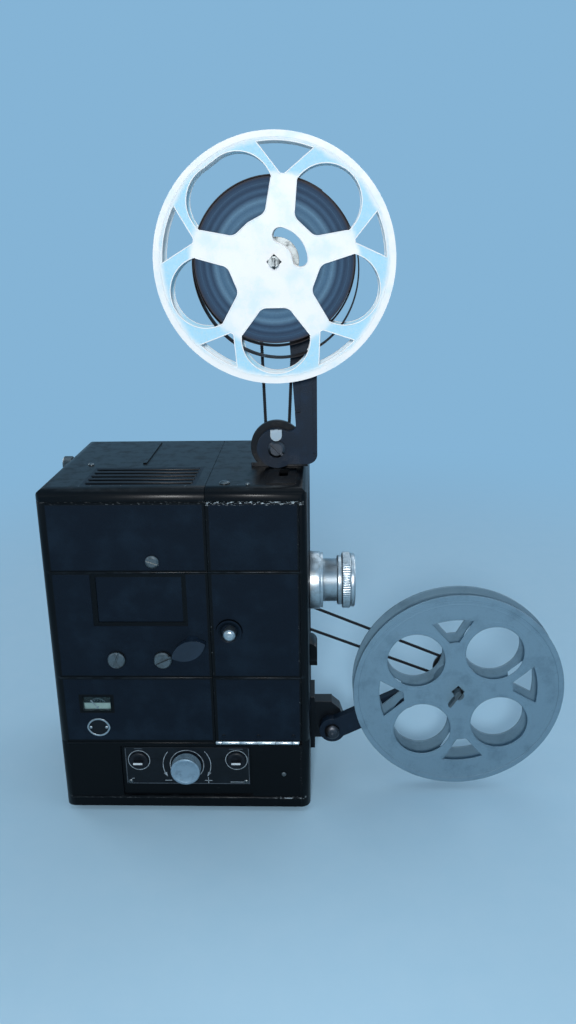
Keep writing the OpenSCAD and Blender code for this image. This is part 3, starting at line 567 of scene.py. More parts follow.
@dataclass(frozen=True)
class ReelSheet:
    """Stamped reel aluminium: brushed round the hub, mottled, with pressed rings; a satin ring, where set, is rougher
    and tinted pale blue as a painted reflection.
    """

    name: str
    hub: Point2
    colour: Colour
    # Second colour: mottle stains, and on the bright reel also the painted pale-blue reflection.
    mottle_and_reflection_colour: Colour
    metal: float
    rough: float
    mottle: float
    ring_radii: tuple[float, ...] = ()
    satin_and_painted_reflection: tuple[float, float] = (0.0, 0.0)
    hole_at: float = 0.0
    hole_angles: tuple[float, ...] = ()
    hole_ring: float = 0.0

    def build(self, machine: Machine) -> bpy.types.Material:
        """Make the material.

        Args:
            machine: gives the millimetre frame.

        Returns:
            The material.
        """
        g = Graph(self.name)
        spot = machine.spot(g)
        x, y, z = g.split(spot)
        dx, dz = x - self.hub[0], z - self.hub[1]
        radius = (dx * dx + dz * dz).root()
        turn = dz.math("ARCTAN2", dz, dx)
        brushed = g.noise(g.join(radius * 1.6, turn * 1.4, y * 0.3), 1.0, 4.0, 0.65)
        cloud = g.noise(spot, 0.055, 5.0, 0.62)
        speck = g.noise(spot, 0.8, 4.0, 0.7)
        pressed = sum((radius.between(r - 0.35, r + 0.35, 0.35) for r in self.ring_radii), 0.0 * radius)
        for angle in self.hole_angles:
            hx = dx - self.hole_at * math.cos(math.radians(angle))
            hz = dz - self.hole_at * math.sin(math.radians(angle))
            away = (hx * hx + hz * hz).root()
            pressed = pressed.most(away.between(self.hole_ring - 0.5, self.hole_ring + 0.5, 0.5))
        stain_and_reflection = cloud.rise(0.45, 0.72) * self.mottle + speck.rise(0.55, 0.7) * self.mottle * 0.4
        # Painted reflection: within the satin ring the sheet is tinted towards the second colour, standing in for the
        # blue surroundings it mirrors; the ring is also rougher.
        satin_reflection_zone = (radius + 9.0 * (cloud - 0.5)).between(self.satin_and_painted_reflection[0], self.satin_and_painted_reflection[1], 3.0)
        stain_and_reflection = stain_and_reflection.most(satin_reflection_zone * (0.35 + 1.0 * speck)).least(1.0)
        colour = g.tint(stain_and_reflection, self.colour, self.mottle_and_reflection_colour)
        nick = g.noise(spot, 0.5, 4.0, 0.7).rise(0.72, 0.75)
        return g.close(
            Base_Color=g.tint(nick * 0.7, colour, (0.05, 0.055, 0.06)),
            Metallic=self.metal,
            Roughness=self.rough + 0.14 * cloud + 0.1 * brushed + 0.16 * satin_reflection_zone,
            Normal=g.bump(0.35 * brushed + pressed + 0.2 * speck, 0.12, 0.7),
        )


@dataclass(frozen=True)
class FilmEdges:
    """Wound film seen on its edges: bands by radius, with fine turns and grain."""

    hub: Point2
    inner: float = 30.0
    outer: float = 72.0

    def build(self, machine: Machine) -> bpy.types.Material:
        """Make the material.

        Args:
            machine: gives the millimetre frame.

        Returns:
            The material.
        """
        g = Graph("film_edges")
        spot = machine.spot(g)
        x, _, z = g.split(spot)
        dx, dz = x - self.hub[0], z - self.hub[1]
        radius = (dx * dx + dz * dz).root()
        share = (radius - self.inner) / (self.outer - self.inner)
        band = g.ramp(share, [
            (0.0, (0.05, 0.105, 0.17)), (0.1, (0.036, 0.085, 0.145)), (0.16, (0.08, 0.165, 0.25)),
            (0.24, (0.05, 0.115, 0.19)), (0.31, (0.1, 0.195, 0.285)), (0.36, (0.05, 0.105, 0.17)),
            (0.4, (0.015, 0.04, 0.08)), (0.47, (0.04, 0.09, 0.155)), (0.52, (0.013, 0.034, 0.07)),
            (0.58, (0.028, 0.064, 0.115)), (0.65, (0.012, 0.03, 0.062)), (0.69, (0.034, 0.026, 0.025)),
            (1.0, (0.034, 0.026, 0.024)),
        ])
        turns = g.noise(g.join(radius * 1.9, 0.0, 0.0), 1.0, 3.0, 0.6)
        grain = g.noise(spot, 1.6, 3.0, 0.7)
        line = turns.rise(0.6, 0.68)
        colour = g.tint(line * 0.6, band, (0.15, 0.26, 0.36))
        colour = g.tint((1.0 - turns.rise(0.34, 0.42)) * 0.4, colour, (0.012, 0.03, 0.06))
        colour = g.tint(grain.rise(0.35, 0.75) * 0.3, colour, (0.012, 0.026, 0.05))
        return g.close(
            Base_Color=colour,
            Roughness=0.55 + 0.2 * grain,
            Specular_IOR_Level=0.22,
            Normal=g.bump(turns + 0.4 * grain, 0.15, 0.8),
        )


@dataclass(frozen=True)
class Moulding:
    """Moulded or rubbery black material with a fine skin and slight bloom."""

    name: str
    colour: Colour
    rough: float
    skin_mm: float = 0.7

    def build(self, machine: Machine) -> bpy.types.Material:
        """Make the material.

        Args:
            machine: gives the millimetre frame.

        Returns:
            The material.
        """
        g = Graph(self.name)
        spot = machine.spot(g)
        skin = g.noise(spot, 1.0 / self.skin_mm, 3.0)
        bloom = g.noise(spot, 0.15, 4.0, 0.6).rise(0.45, 0.75)
        return g.close(
            Base_Color=g.tint(bloom * 0.5, self.colour, tuple(2.4 * c for c in self.colour)),
            Roughness=self.rough + 0.15 * bloom + 0.08 * skin,
            Specular_IOR_Level=0.18,
            Normal=g.bump(skin, 0.05, 0.6),
        )


@dataclass(frozen=True)
class MarkPaint:
    """Pale paint in the panel's engraved marks, thin in places."""

    name: str
    colour: Colour
    thin: Colour

    def build(self, machine: Machine) -> bpy.types.Material:
        """Make the material.

        Args:
            machine: gives the millimetre frame.

        Returns:
            The material.
        """
        g = Graph(self.name)
        spot = machine.spot(g)
        worn = g.noise(spot, 0.28, 4.0, 0.7).rise(0.42, 0.66)
        grain = g.noise(spot, 2.2, 2.0)
        return g.close(
            Base_Color=g.tint(worn * 0.8, self.colour, self.thin),
            Roughness=0.5 + 0.2 * grain,
            Normal=g.bump(grain, 0.03, 0.5),
        )


@dataclass(frozen=True)
class DialCard:
    """The meter's card: dark upper half, pale lower strip."""

    split_z: float

    def build(self, machine: Machine) -> bpy.types.Material:
        """Make the material.

        Args:
            machine: gives the millimetre frame.

        Returns:
            The material.
        """
        g = Graph("dial_card")
        spot = machine.spot(g)
        _, _, z = g.split(spot)
        low = 1.0 - z.rise(self.split_z - 0.3, self.split_z + 0.3)
        foxing = g.noise(spot, 0.3, 4.0, 0.65)
        dark = g.tint(foxing * 0.6, (0.006, 0.012, 0.012), (0.014, 0.024, 0.022))
        pale = g.tint(foxing.rise(0.4, 0.8) * 0.5, (0.58, 0.64, 0.56), (0.4, 0.43, 0.35))
        return g.close(
            Base_Color=g.tint(low, dark, pale),
            Roughness=0.6 + 0.2 * foxing,
            Normal=g.bump(foxing, 0.03, 0.4),
        )


@dataclass(frozen=True)
class ClearGlass:
    """Clear glass with a faint film of dust."""

    name: str
    colour: Colour
    dust: float
    index: float = 1.5

    def build(self, machine: Machine) -> bpy.types.Material:
        """Make the material.

        Args:
            machine: gives the millimetre frame.

        Returns:
            The material.
        """
        g = Graph(self.name)
        haze = g.noise(machine.spot(g), 0.3, 4.0, 0.6)
        return g.close(
            Base_Color=self.colour,
            Roughness=0.03 + self.dust * haze.rise(0.4, 0.8),
            IOR=self.index,
            Transmission_Weight=1.0,
        )


class Slot(Enum):
    """The record's material slots."""

    BLACK_ENAMEL = "black_enamel"
    GLOSS_BLACK = "gloss_black"
    NICKEL = "nickel"
    DARK_STEEL = "dark_steel"
    STEEL = "steel"
    KNOB_ALUMINIUM = "knob_aluminium"
    REEL_BRIGHT = "reel_bright"
    REEL_GREY = "reel_grey"
    BAKELITE = "bakelite"
    RUBBER = "rubber"
    BELT = "belt"
    FILM = "film"
    BRASS = "brass"
    GLASS = "glass"
    MIRROR = "mirror"


@dataclass(frozen=True)
class Layout:
    """Places of the reels and pulleys, in millimetres from the machine's corner."""

    feed_hub: Point2 = (186.5, 451.0)
    feed_pivot: Point2 = (184.5, 305.0)
    take_hub: Point2 = (336.0, 97.5)
    drive_pulley: Point2 = (180.0, 161.0)
    feed_belt_y: float = 74.5
    take_belt_y: float = 71.0
    feed_pitch: Point2 = (9.0, 14.9)
    take_pitch: Point2 = (8.7, 10.7)
    belt_r: float = 1.4
    film_near: float = 34.0
    film_far: float = 50.0
    front_flange_y: float = 32.0
    rear_flange_y: float = 52.0


class Paintbox:
    """All the materials, made once and given out by slot or by name."""

    def __init__(self, machine: Machine, layout: Layout) -> None:
        """Make every material.

        Args:
            machine: gives the millimetre frame.
            layout: gives the reels' centres.
        """
        nickel = BareMetal("worn_nickel", (0.42, 0.46, 0.48), (0.16, 0.16, 0.145), 0.28)
        finishes = {
            Slot.BLACK_ENAMEL: CaseEnamel(),
            Slot.GLOSS_BLACK: Lacquer("gloss_lacquer", (0.0018, 0.0034, 0.0056), 1.6, 0.05),
            Slot.NICKEL: nickel,
            Slot.DARK_STEEL: BareMetal("blued_steel", (0.07, 0.075, 0.085), (0.03, 0.03, 0.032), 0.34),
            Slot.STEEL: BareMetal("machined_steel", (0.46, 0.47, 0.49), (0.24, 0.22, 0.2), 0.3),
            Slot.KNOB_ALUMINIUM: BareMetal(
                "turned_aluminium", (0.17, 0.27, 0.35), (0.09, 0.155, 0.21), 0.44, 0.7, 0.35,
            ),
            # The bright reel's pale-blue second colour serves as mottle and, in its satin ring, as a painted
            # reflection.
            Slot.REEL_BRIGHT: ReelSheet(
                "bright_reel", layout.feed_hub, (0.72, 0.72, 0.71), (0.36, 0.64, 0.78), 0.3, 0.52, 0.3,
                (83.6,), (62.0, 82.5),
            ),
            Slot.REEL_GREY: ReelSheet(
                "grey_reel", layout.take_hub, (0.122, 0.218, 0.292), (0.08, 0.152, 0.21), 0.2, 0.46, 0.75,
                (83.4, 80.6), (0.0, 0.0), 46.5, (51.0, 141.0, 231.0, 321.0), 28.0,
            ),
            Slot.BAKELITE: Moulding("black_moulding", (0.004, 0.006, 0.009), 0.4),
            Slot.RUBBER: Moulding("foot_rubber", (0.016, 0.016, 0.017), 0.7, 0.9),
            Slot.BELT: Moulding("belt_cord", (0.006, 0.008, 0.011), 0.6, 0.5),
            Slot.FILM: FilmEdges(layout.feed_hub),
            Slot.BRASS: BareMetal("aged_brass", (0.6, 0.44, 0.2), (0.3, 0.2, 0.09), 0.32),
            Slot.GLASS: ClearGlass("lens_glass", (0.93, 0.95, 0.97), 0.1),
            Slot.MIRROR: BareMetal("lamp_mirror", (0.86, 0.86, 0.85), (0.6, 0.58, 0.54), 0.08, 0.2),
        }
        self.by_slot = {slot: finish.build(machine) for slot, finish in finishes.items()}
        # The bright reel's rolled lips are painted paler than its sheet: a painted highlight along the edges; the
        # grey reel's lips keep its own material.
        pale, dull = (0.84, 0.84, 0.83), (0.72, 0.78, 0.82)
        lips = ReelSheet("lip_painted_highlight", layout.feed_hub, pale, dull, 0.3, 0.5, 0.3)
        self.lips = {Slot.REEL_BRIGHT: lips.build(machine), Slot.REEL_GREY: self.slot(Slot.REEL_GREY)}
        wrinkle = Lacquer("wrinkle_lacquer", (0.0026, 0.0095, 0.021), 0.95, 0.2, 0.46, 0.04, 0.2)
        self.wrinkle = wrinkle.build(machine)
        lever = Lacquer("lever_lacquer", (0.0052, 0.0122, 0.024), 1.6, 0.05, 0.3, 0.12, 0.3)
        self.lever = lever.build(machine)
        # Nickel painted dark for parts that look dark under the light: painted shade, with tarnish patches.
        tarnished_shaded_nickel = BareMetal("nickel_tarnish_and_painted_shade", (0.13, 0.145, 0.15), (0.035, 0.037, 0.036), 0.32, 0.7)
        self.tarnished_shaded_nickel = tarnished_shaded_nickel.build(machine)
        self.marks = MarkPaint("mark_paint", (0.24, 0.3, 0.34), (0.07, 0.09, 0.11)).build(machine)
        faint = MarkPaint("faint_marks", (0.045, 0.062, 0.08), (0.012, 0.018, 0.025))
        self.faint_marks = faint.build(machine)
        self.bar_paint = MarkPaint("bar_paint", (0.5, 0.56, 0.6), (0.3, 0.36, 0.4)).build(machine)
        self.card = DialCard(103.2).build(machine)
        self.pane = ClearGlass("meter_pane", (0.84, 0.9, 0.9), 0.04, 1.18).build(machine)

    def slot(self, slot: Slot) -> bpy.types.Material:
        """The material of a slot."""
        return self.by_slot[slot]


@dataclass(frozen=True)
class Knurl:
    """Grooves round a turned piece between two heights."""

    count: int
    depth: float
    low: float
    high: float

    def cut(self, angle: float, height: float) -> float:
        """How far the surface lies below full radius at an angle and height."""
        if not self.low <= height <= self.high:
            return 0.0
        return self.depth * (0.5 - 0.5 * math.cos(self.count * angle))


class Stock:
    """Builds one piece's mesh in a local millimetre frame."""

    def __init__(self, name: str, frame: Matrix) -> None:
        """Start an empty piece.

        Args:
            name: the piece's name.
            frame: local millimetres to the row frame.
        """
        self.name = name
        self.frame = frame
        self.mesh = bmesh.new()

    def point(self, x: float, y: float, z: float) -> bmesh.types.BMVert:
        """Add a vertex at a local point."""
        return self.mesh.verts.new(self.frame @ Vector((x, y, z)))

    def skin(self, rings: Sequence[Sequence[bmesh.types.BMVert]], closed: bool) -> None:
        """Join neighbouring rings of equal length with quads.

        Args:
            rings: vertex rings in order.
            closed: whether the last ring joins the first.
        """
        pairs = list(zip(rings, rings[1:]))
        if closed:
            pairs.append((rings[-1], rings[0]))
        for first, second in pairs:
            count = len(first)
            for i in range(count):
                j = (i + 1) % count
                self.mesh.faces.new((first[i], first[j], second[j], second[i]))

    def lathe(
        self, profile: Sequence[Point2], steps: int = 96, knurl: Knurl | None = None,
        centre: Point2 = (0.0, 0.0), closed: bool = False,
    ) -> "Stock":
        """Turn a profile of radius and height round the local z axis.

        Args:
            profile: radius and height of each point.
            steps: vertices round the axis.
            knurl: grooves to cut, if any.
            centre: the axis in the local x, y plane.
            closed: whether the profile is a closed ring section.

        Returns:
            This piece.
        """
        angles = [2 * math.pi * i / steps for i in range(steps)]
        rings = []
        for radius, height in profile:
            ring = []
            for angle in angles:
                r = radius - (knurl.cut(angle, height) if knurl else 0.0)
                ring.append(self.point(centre[0] + r * math.cos(angle), centre[1] + r * math.sin(angle), height))
            rings.append(ring)
        self.skin(rings, closed)
        if not closed:
            self.mesh.faces.new(list(reversed(rings[0])))
            self.mesh.faces.new(rings[-1])
        return self

    def slab(self, outline: Outline, low: float, high: float) -> "Stock":
        """Extrude a closed outline between two heights."""
        rings = [[self.point(x, y, h) for x, y in outline] for h in (low, high)]
        self.skin(rings, False)
        self.mesh.faces.new(list(reversed(rings[0])))
        self.mesh.faces.new(rings[1])
        return self

    def band(self, outer: Outline, inner: Outline, low: float, high: float) -> "Stock":
        """Extrude the strip between two closed outlines with equal counts.

        Args:
            outer: the outer edge.
            inner: the inner edge.
            low: the lower face's height.
            high: the upper face's height.

        Returns:
            This stock.
        """
        rings = [
            [self.point(x, y, low) for x, y in outer], [self.point(x, y, high) for x, y in outer],
            [self.point(x, y, high) for x, y in inner], [self.point(x, y, low) for x, y in inner],
        ]
        self.skin(rings, True)
        return self

    def sheet(self, outline: Outline, holes: list[Outline], low: float, high: float) -> list[Outline]:
        """Extrude a flat sheet whose holes may run into each other.

        Args:
            outline: the outer edge, turning left.
            holes: the holes' edges, turning left.
            low: lower height.
            high: upper height.

        Returns:
            The sheet's closed edges.
        """
        loops = [outline] + holes
        starts = [sum(len(loop) for loop in loops[:i]) for i in range(len(loops))]
        faces = [list(range(start, start + len(loop))) for start, loop in zip(starts, loops)]
        flat = [Vector(p) for loop in loops for p in loop]
        spots, _, cells, _, _, owners = delaunay_2d_cdt(flat, [], faces, 1, 1e-4)
        kept = [cell for cell, owner in zip(cells, owners) if set(owner) == {0}]
        used = sorted({i for cell in kept for i in cell})
        bottom = {i: self.point(*spots[i], low) for i in used}
        top = {i: self.point(*spots[i], high) for i in used}
        count: dict[tuple[int, int], int] = {}
        for cell in kept:
            self.mesh.faces.new([top[i] for i in cell])
            self.mesh.faces.new([bottom[i] for i in reversed(cell)])
            for a, b in zip(cell, cell[1:] + cell[:1]):
                key = (min(a, b), max(a, b))
                count[key] = count.get(key, 0) + 1
        rims = Shapes.closed_edges(count)
        for rim in rims:
            for a, b in zip(rim, rim[1:] + rim[:1]):
                self.mesh.faces.new([bottom[a], bottom[b], top[b], top[a]])
        return [[tuple(spots[i]) for i in rim] for rim in rims]

    def strip(self, path: Outline, width: float, low: float, high: float) -> "Stock":
        """Extrude an open path of some width between two heights.

        Args:
            path: the middle line in the local x, y plane.
            width: across the path.
            low: lower height.
            high: upper height.

        Returns:
            This piece.
        """
        rings = []
        for i, (x, y) in enumerate(path):
            ahead = Vector(path[min(i + 1, len(path) - 1)]) - Vector(path[max(i - 1, 0)])
            side = Vector((-ahead.y, ahead.x)).normalized() * width / 2
            rings.append([
                self.point(x + side.x, y + side.y, low), self.point(x + side.x, y + side.y, high),
                self.point(x - side.x, y - side.y, high), self.point(x - side.x, y - side.y, low),
            ])
        self.skin(rings, False)
        self.mesh.faces.new(list(reversed(rings[0])))
        self.mesh.faces.new(rings[-1])
        return self

    def cord(self, path: Outline, height: float, radius: Callable[[int], float], sides: int = 10) -> "Stock":
        """Sweep a round section along a closed path that lies at one height.

        Args:
            path: closed middle line in the local x, y plane.
            height: the path's local z.
            radius: section radius at each point's index.
            sides: vertices round the section.

        Returns:
            This piece.
        """
        rings = []
        count = len(path)
        for i, (x, y) in enumerate(path):
            ahead = Vector(path[(i + 1) % count]) - Vector(path[i - 1])
            side = Vector((-ahead.y, ahead.x)).normalized()
            ring = []
            for k in range(sides):
                a = 2 * math.pi * k / sides
                out, up = radius(i) * math.cos(a), radius(i) * math.sin(a)
                ring.append(self.point(x + side.x * out, y + side.y * out, height + up))
            rings.append(ring)
        self.skin(rings, True)
        return self

    def finish(
        self, material: bpy.types.Material, body: str | None, slot: Slot,
        crease_deg: float = 32.0, edge_mm: float = 0.0,
    ) -> bpy.types.Object:
        """Turn the mesh into an object that rides on a body.

        Args:
            material: its finish.
            body: the CAD body that carries it, or None to leave it unattached.
            slot: the record's slot for it; not used.
            crease_deg: edges sharper than this stay sharp.
            edge_mm: width of a bevel on sharp edges, or 0.

        Returns:
            The object.
        """
        bmesh.ops.recalc_face_normals(self.mesh, faces=self.mesh.faces)
        data = bpy.data.meshes.new(self.name)
        self.mesh.to_mesh(data)
        self.mesh.free()
        data.polygons.foreach_set("use_smooth", [True] * len(data.polygons))
        data.set_sharp_from_angle(angle=math.radians(crease_deg))
        data.materials.append(material)
        piece = bpy.data.objects.new(self.name, data)
        bpy.context.scene.collection.objects.link(piece)
        if edge_mm:
            bevel = piece.modifiers.new("edges", "BEVEL")
            bevel.width = edge_mm * MM
            bevel.segments = 2
            bevel.limit_method = "ANGLE"
            bevel.angle_limit = math.radians(crease_deg)
        if body:
            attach(piece, body)
        LOG.info("piece %s on %s", self.name, body)
        return piece


class Shapes:
    """Flat outlines used by several pieces."""

    @staticmethod
    def turned(outline: Outline, angle: float) -> Outline:
        """An outline turned about the origin."""
        c, s = math.cos(math.radians(angle)), math.sin(math.radians(angle))
        return [(c * x - s * y, s * x + c * y) for x, y in outline]

    @staticmethod
    def ray(angle: float, near: float, far: float) -> Outline:
        """Two points on a ray from the origin."""
        a = math.radians(angle)
        return [(near * math.cos(a), near * math.sin(a)), (far * math.cos(a), far * math.sin(a))]

    @staticmethod
    def circle(radius: float, steps: int = 48, centre: Point2 = (0.0, 0.0)) -> Outline:
        """Points of a circle."""
        return Shapes.arc(radius, 0.0, 360.0 * (steps - 1) / steps, steps, centre)

    @staticmethod
    def arc(radius: float, start: float, end: float, steps: int, centre: Point2 = (0.0, 0.0)) -> Outline:
        """Points along an arc, angles in degrees.

        Args:
            radius: the arc's radius.
            start: first angle.
            end: last angle.
            steps: number of points.
            centre: the arc's centre.

        Returns:
            The points.
        """
        spread = [math.radians(start + (end - start) * i / (steps - 1)) for i in range(steps)]
        return [(centre[0] + radius * math.cos(a), centre[1] + radius * math.sin(a)) for a in spread]

    @staticmethod
    def eye(half_width: float, half_height: float, steps: int = 24) -> Outline:
        """Pointed oval made of two arcs that meet at the left and right.

        Args:
            half_width: from the middle to a point.
            half_height: from the middle to the top.
            steps: pieces of each arc.

        Returns:
            The outline.
        """
        radius = (half_width ** 2 + half_height ** 2) / (2 * half_height)
        half = math.degrees(math.asin(half_width / radius))
        drop = radius - half_height
        upper = Shapes.arc(radius, 90 - half, 90 + half, steps, (0.0, -drop))
        lower = Shapes.arc(radius, 270 - half, 270 + half, steps, (0.0, drop))
        return upper[:-1] + lower[:-1]

    @staticmethod
    def loop(first: Point2, first_r: float, second: Point2, second_r: float, pitch: float) -> Outline:
        """Middle line of an open belt round two pulleys, in even steps.

        Args:
            first: centre of one pulley.
            first_r: its pitch radius.
            second: centre of the other.
            second_r: its pitch radius.
            pitch: distance between points.

        Returns:
            The points.
        """
        span = Vector(second) - Vector(first)
        heading = math.atan2(span.y, span.x)
        lean = math.asin((second_r - first_r) / span.length)
        half = math.pi / 2 + lean
        corners: Outline = []
        for centre, radius, start, end in (
            (second, second_r, heading - half, heading + half),
            (first, first_r, heading + half, heading + 2 * math.pi - half),
        ):
            corners += Shapes.arc(radius, math.degrees(start), math.degrees(end), 60, centre)
        return Shapes.even(corners, pitch)

    @staticmethod
    def even(path: Outline, pitch: float) -> Outline:
        """Resample a closed path in even steps.

        Args:
            path: the closed path.
            pitch: length of a step.

        Returns:
            The new points.
        """
        closed = path + [path[0]]
        lengths = [0.0]
        for a, b in zip(closed, closed[1:]):
            lengths.append(lengths[-1] + math.dist(a, b))
        count = max(8, round(lengths[-1] / pitch))
        made, k = [], 0
        for i in range(count):
            goal = lengths[-1] * i / count
            while lengths[k + 1] < goal:
                k += 1
            share = (goal - lengths[k]) / max(1e-9, lengths[k + 1] - lengths[k])
            made.append(tuple(Vector(closed[k]).lerp(Vector(closed[k + 1]), share)))
        return made

    @staticmethod
    def window_loops(node: bpy.types.Object, machine: Machine, level_mm: float) -> list[Outline]:
        """Closed edges of the flat faces at one depth of a CAD node.

        Args:
            node: the CAD object; it is only read.
            machine: gives the millimetre frame.
            level_mm: depth of the faces behind the front.

        Returns:
            The loops, as x, z points in millimetres.
        """
        level = machine.at(0, level_mm, 0).y
        points = [v.co for v in node.data.vertices]
        count: dict[tuple[Point2, Point2], int] = {}
        for face in node.data.polygons:
            if any(abs(points[i].y - level) > 0.02 * MM for i in face.vertices):
                continue
            flat = []
            for i in face.vertices:
                local = (points[i] - machine.corner) / MM
                flat.append((round(local.x, 3), round(local.z, 3)))
            for a, b in zip(flat, flat[1:] + flat[:1]):
                key = (a, b) if a < b else (b, a)
                count[key] = count.get(key, 0) + 1
        return Shapes.closed_edges(count)

    @staticmethod
    def closed_edges(count: dict) -> list[list]:
        """Chain the edges that only one face uses.

        Args:
            count: uses of each edge, keyed by its two ends in order.

        Returns:
            The closed loops of ends.
        """
        links: dict = {}
        for (a, b), uses in count.items():
            if uses == 1 and a != b:
                links.setdefault(a, []).append(b)
                links.setdefault(b, []).append(a)
        loops = []
        while links:
            start = min(links)
            loop, here, before = [start], links[start][0], start
            while here != start:
                loop.append(here)
                ways = [p for p in links[here] if p != before]
                before, here = here, ways[0]
            for p in loop:
                links.pop(p, None)
            loops.append(loop)
        return loops


@dataclass
class Trim:
    """Small parts on the lamp house: badge plate, meter card and its glass."""

    machine: Machine
    paints: Paintbox
    badge_at: Point2 = (34.6, 82.0)
    badge_half: Point2 = (9.7, 8.3)
    meter_at: Point2 = (34.5, 103.8)
    meter_half: Point2 = (11.2, 6.1)
    card_y: float = 3.05
    glass_y: float = 0.7

    def build(self) -> None:
        """Make the trim."""
        nickel = self.paints.slot(Slot.NICKEL)
        place = self.machine.front(self.badge_at[0], self.badge_at[1])
        outer = Shapes.eye(*self.badge_half)
        inner = [(0.86 * x, 0.84 * y) for x, y in outer]
        rim = Stock("badge_rim", place).band(outer, inner, -0.05, 0.75)
        rim.finish(nickel, "chassis", Slot.NICKEL, edge_mm=0.15)
        field = Stock("badge_field", place).slab([(0.9 * x, 0.88 * y) for x, y in outer], -0.05, 0.45)
        field.finish(self.paints.slot(Slot.GLOSS_BLACK), "chassis", Slot.GLOSS_BLACK)
        for name, side in (("left", -1), ("right", 1)):
            self._badge_screw(f"badge_screw_{name}", side)
        self._meter()

    def _badge_screw(self, name: str, side: int) -> None:
        """A domed screw at one point of the badge.

        Args:
            name: the piece's name.
            side: -1 for the left point, 1 for the right.
        """
        place = self.machine.front(self.badge_at[0] + side * 6.6, self.badge_at[1])
        dome = [(1.25, 0.3), (1.25, 0.75), (0.95, 1.05), (0.5, 1.2), (0.05, 1.24)]
        screw = Stock(name, place).lathe(dome, 24)
        screw.finish(self.paints.slot(Slot.NICKEL), "chassis", Slot.NICKEL)

    def _meter(self) -> None:
        """The meter's card with its marks and its glass."""
        x, z = self.meter_at
        half_x, half_z = self.meter_half
        box = [(-half_x, -half_z), (half_x, -half_z), (half_x, half_z), (-half_x, half_z)]
        card = Stock("meter_card", self.machine.front(x, z, self.card_y)).slab(box, -0.02, 0.3)
        card.finish(self.paints.card, "chassis", Slot.BAKELITE)
        ticks = Stock("meter_ticks", self.machine.front(x, z - 4.5, self.card_y))
        for i, angle in enumerate(range(40, 141, 12)):
            near = 6.6 if i % 2 else 5.6
            ticks.strip(Shapes.ray(angle, near, 7.8), 0.3, 0.3, 0.38)
        ticks.strip(Shapes.arc(7.9, 36, 144, 24), 0.25, 0.3, 0.38)
        ticks.finish(self.paints.marks, "chassis", Slot.BAKELITE)
        pane = Stock("meter_glass", self.machine.front(x, z, self.glass_y)).slab(box, -0.25, 0.25)
        pane.finish(self.paints.pane, "chassis", Slot.GLASS)


@dataclass
class PanelMarks:
    """Engraved marks on the control panel: rings, arcs with arrowheads, signs, frame lines."""

    machine: Machine
    paints: Paintbox
    panel_y: float = 0.4
    bar_y: float = -5.4
    relief: float = 0.12
    line: float = 0.55
    speed_at: Point2 = (106.3, 45.5)
    switches: tuple[Point2, ...] = ((66.0, 50.0), (148.3, 50.5))

    def build(self) -> None:
        """Make the marks."""
        stock = Stock("panel_marks", self.machine.front(0, 0, self.panel_y))
        low, high = -0.05, self.relief
        for centre, radius in ((self.speed_at, 14.2), (self.switches[0], 9.1), (self.switches[1], 9.1)):
            half = self.line / 2
            outer = Shapes.circle(radius + half, 72, centre)
            stock.band(outer, Shapes.circle(radius - half, 72, centre), low, high)
        for start, end in ((141.0, 204.0), (41.0, -23.0)):
            stock.strip(Shapes.arc(20.2, start, end, 24, self.speed_at), self.line, low, high)
            stock.slab(self._arrowhead(end, 1 if end > start else -1), low, high)
        lines = [
            [(87.0, 30.4), (93.0, 30.4)], [(120.8, 30.4), (127.2, 30.4)], [(124.0, 27.3), (124.0, 33.5)],
            [(142.6, 29.0), (154.2, 29.0)],
        ]
        for path in lines:
            stock.strip(path, self.line, low, high)
        stock.strip(Shapes.arc(1.7, 100.0, -100.0, 14, (155.2, 29.2)), self.line, low, high)
        stock.strip(Shapes.arc(1.6, 60.0, 250.0, 12, (60.0, 30.6)), self.line, low, high)
        stock.finish(self.paints.marks, "chassis", Slot.GLOSS_BLACK)
        frame = Stock("panel_frame_lines", self.machine.front(0, 0, self.panel_y))
        for path in (
            [(158.6, 27.6), (158.6, 61.4)], [(57.0, 27.5), (158.6, 27.5)], [(54.9, 28.0), (54.9, 61.4)],
            [(62.5, 61.0), (69.5, 61.0)], [(142.5, 61.0), (154.0, 61.0)],
        ):
            frame.strip(path, self.line, low, high)
        frame.finish(self.paints.faint_marks, "chassis", Slot.GLOSS_BLACK)
        for body, (x, z) in zip(("lamp_switch", "direction_switch"), self.switches):
            bar = Stock(f"{body}_bar", self.machine.front(x, z, self.bar_y))
            bar.slab([(-3.7, -0.9), (3.7, -0.9), (3.9, 0.0), (3.7, 0.9), (-3.7, 0.9), (-3.9, 0.0)], -0.05, 0.12)
            bar.finish(self.paints.bar_paint, body, Slot.BAKELITE)

    def _arrowhead(self, angle: float, sense: int) -> Outline:
        """Outline of the arrowhead at one end of an arc.

        Args:
            angle: where the arc ends.
            sense: 1 when the angle grows along the arc, otherwise -1.

        Returns:
            The outline.
        """
        tip = math.radians(angle + sense * 10.0)
        foot = math.radians(angle - sense * 2.0)
        x, z = self.speed_at
        corners = [
            (x + 20.2 * math.cos(tip), z + 20.2 * math.sin(tip)),
            (x + 21.6 * math.cos(foot), z + 21.6 * math.sin(foot)),
            (x + 18.8 * math.cos(foot), z + 18.8 * math.sin(foot)),
        ]
        return corners


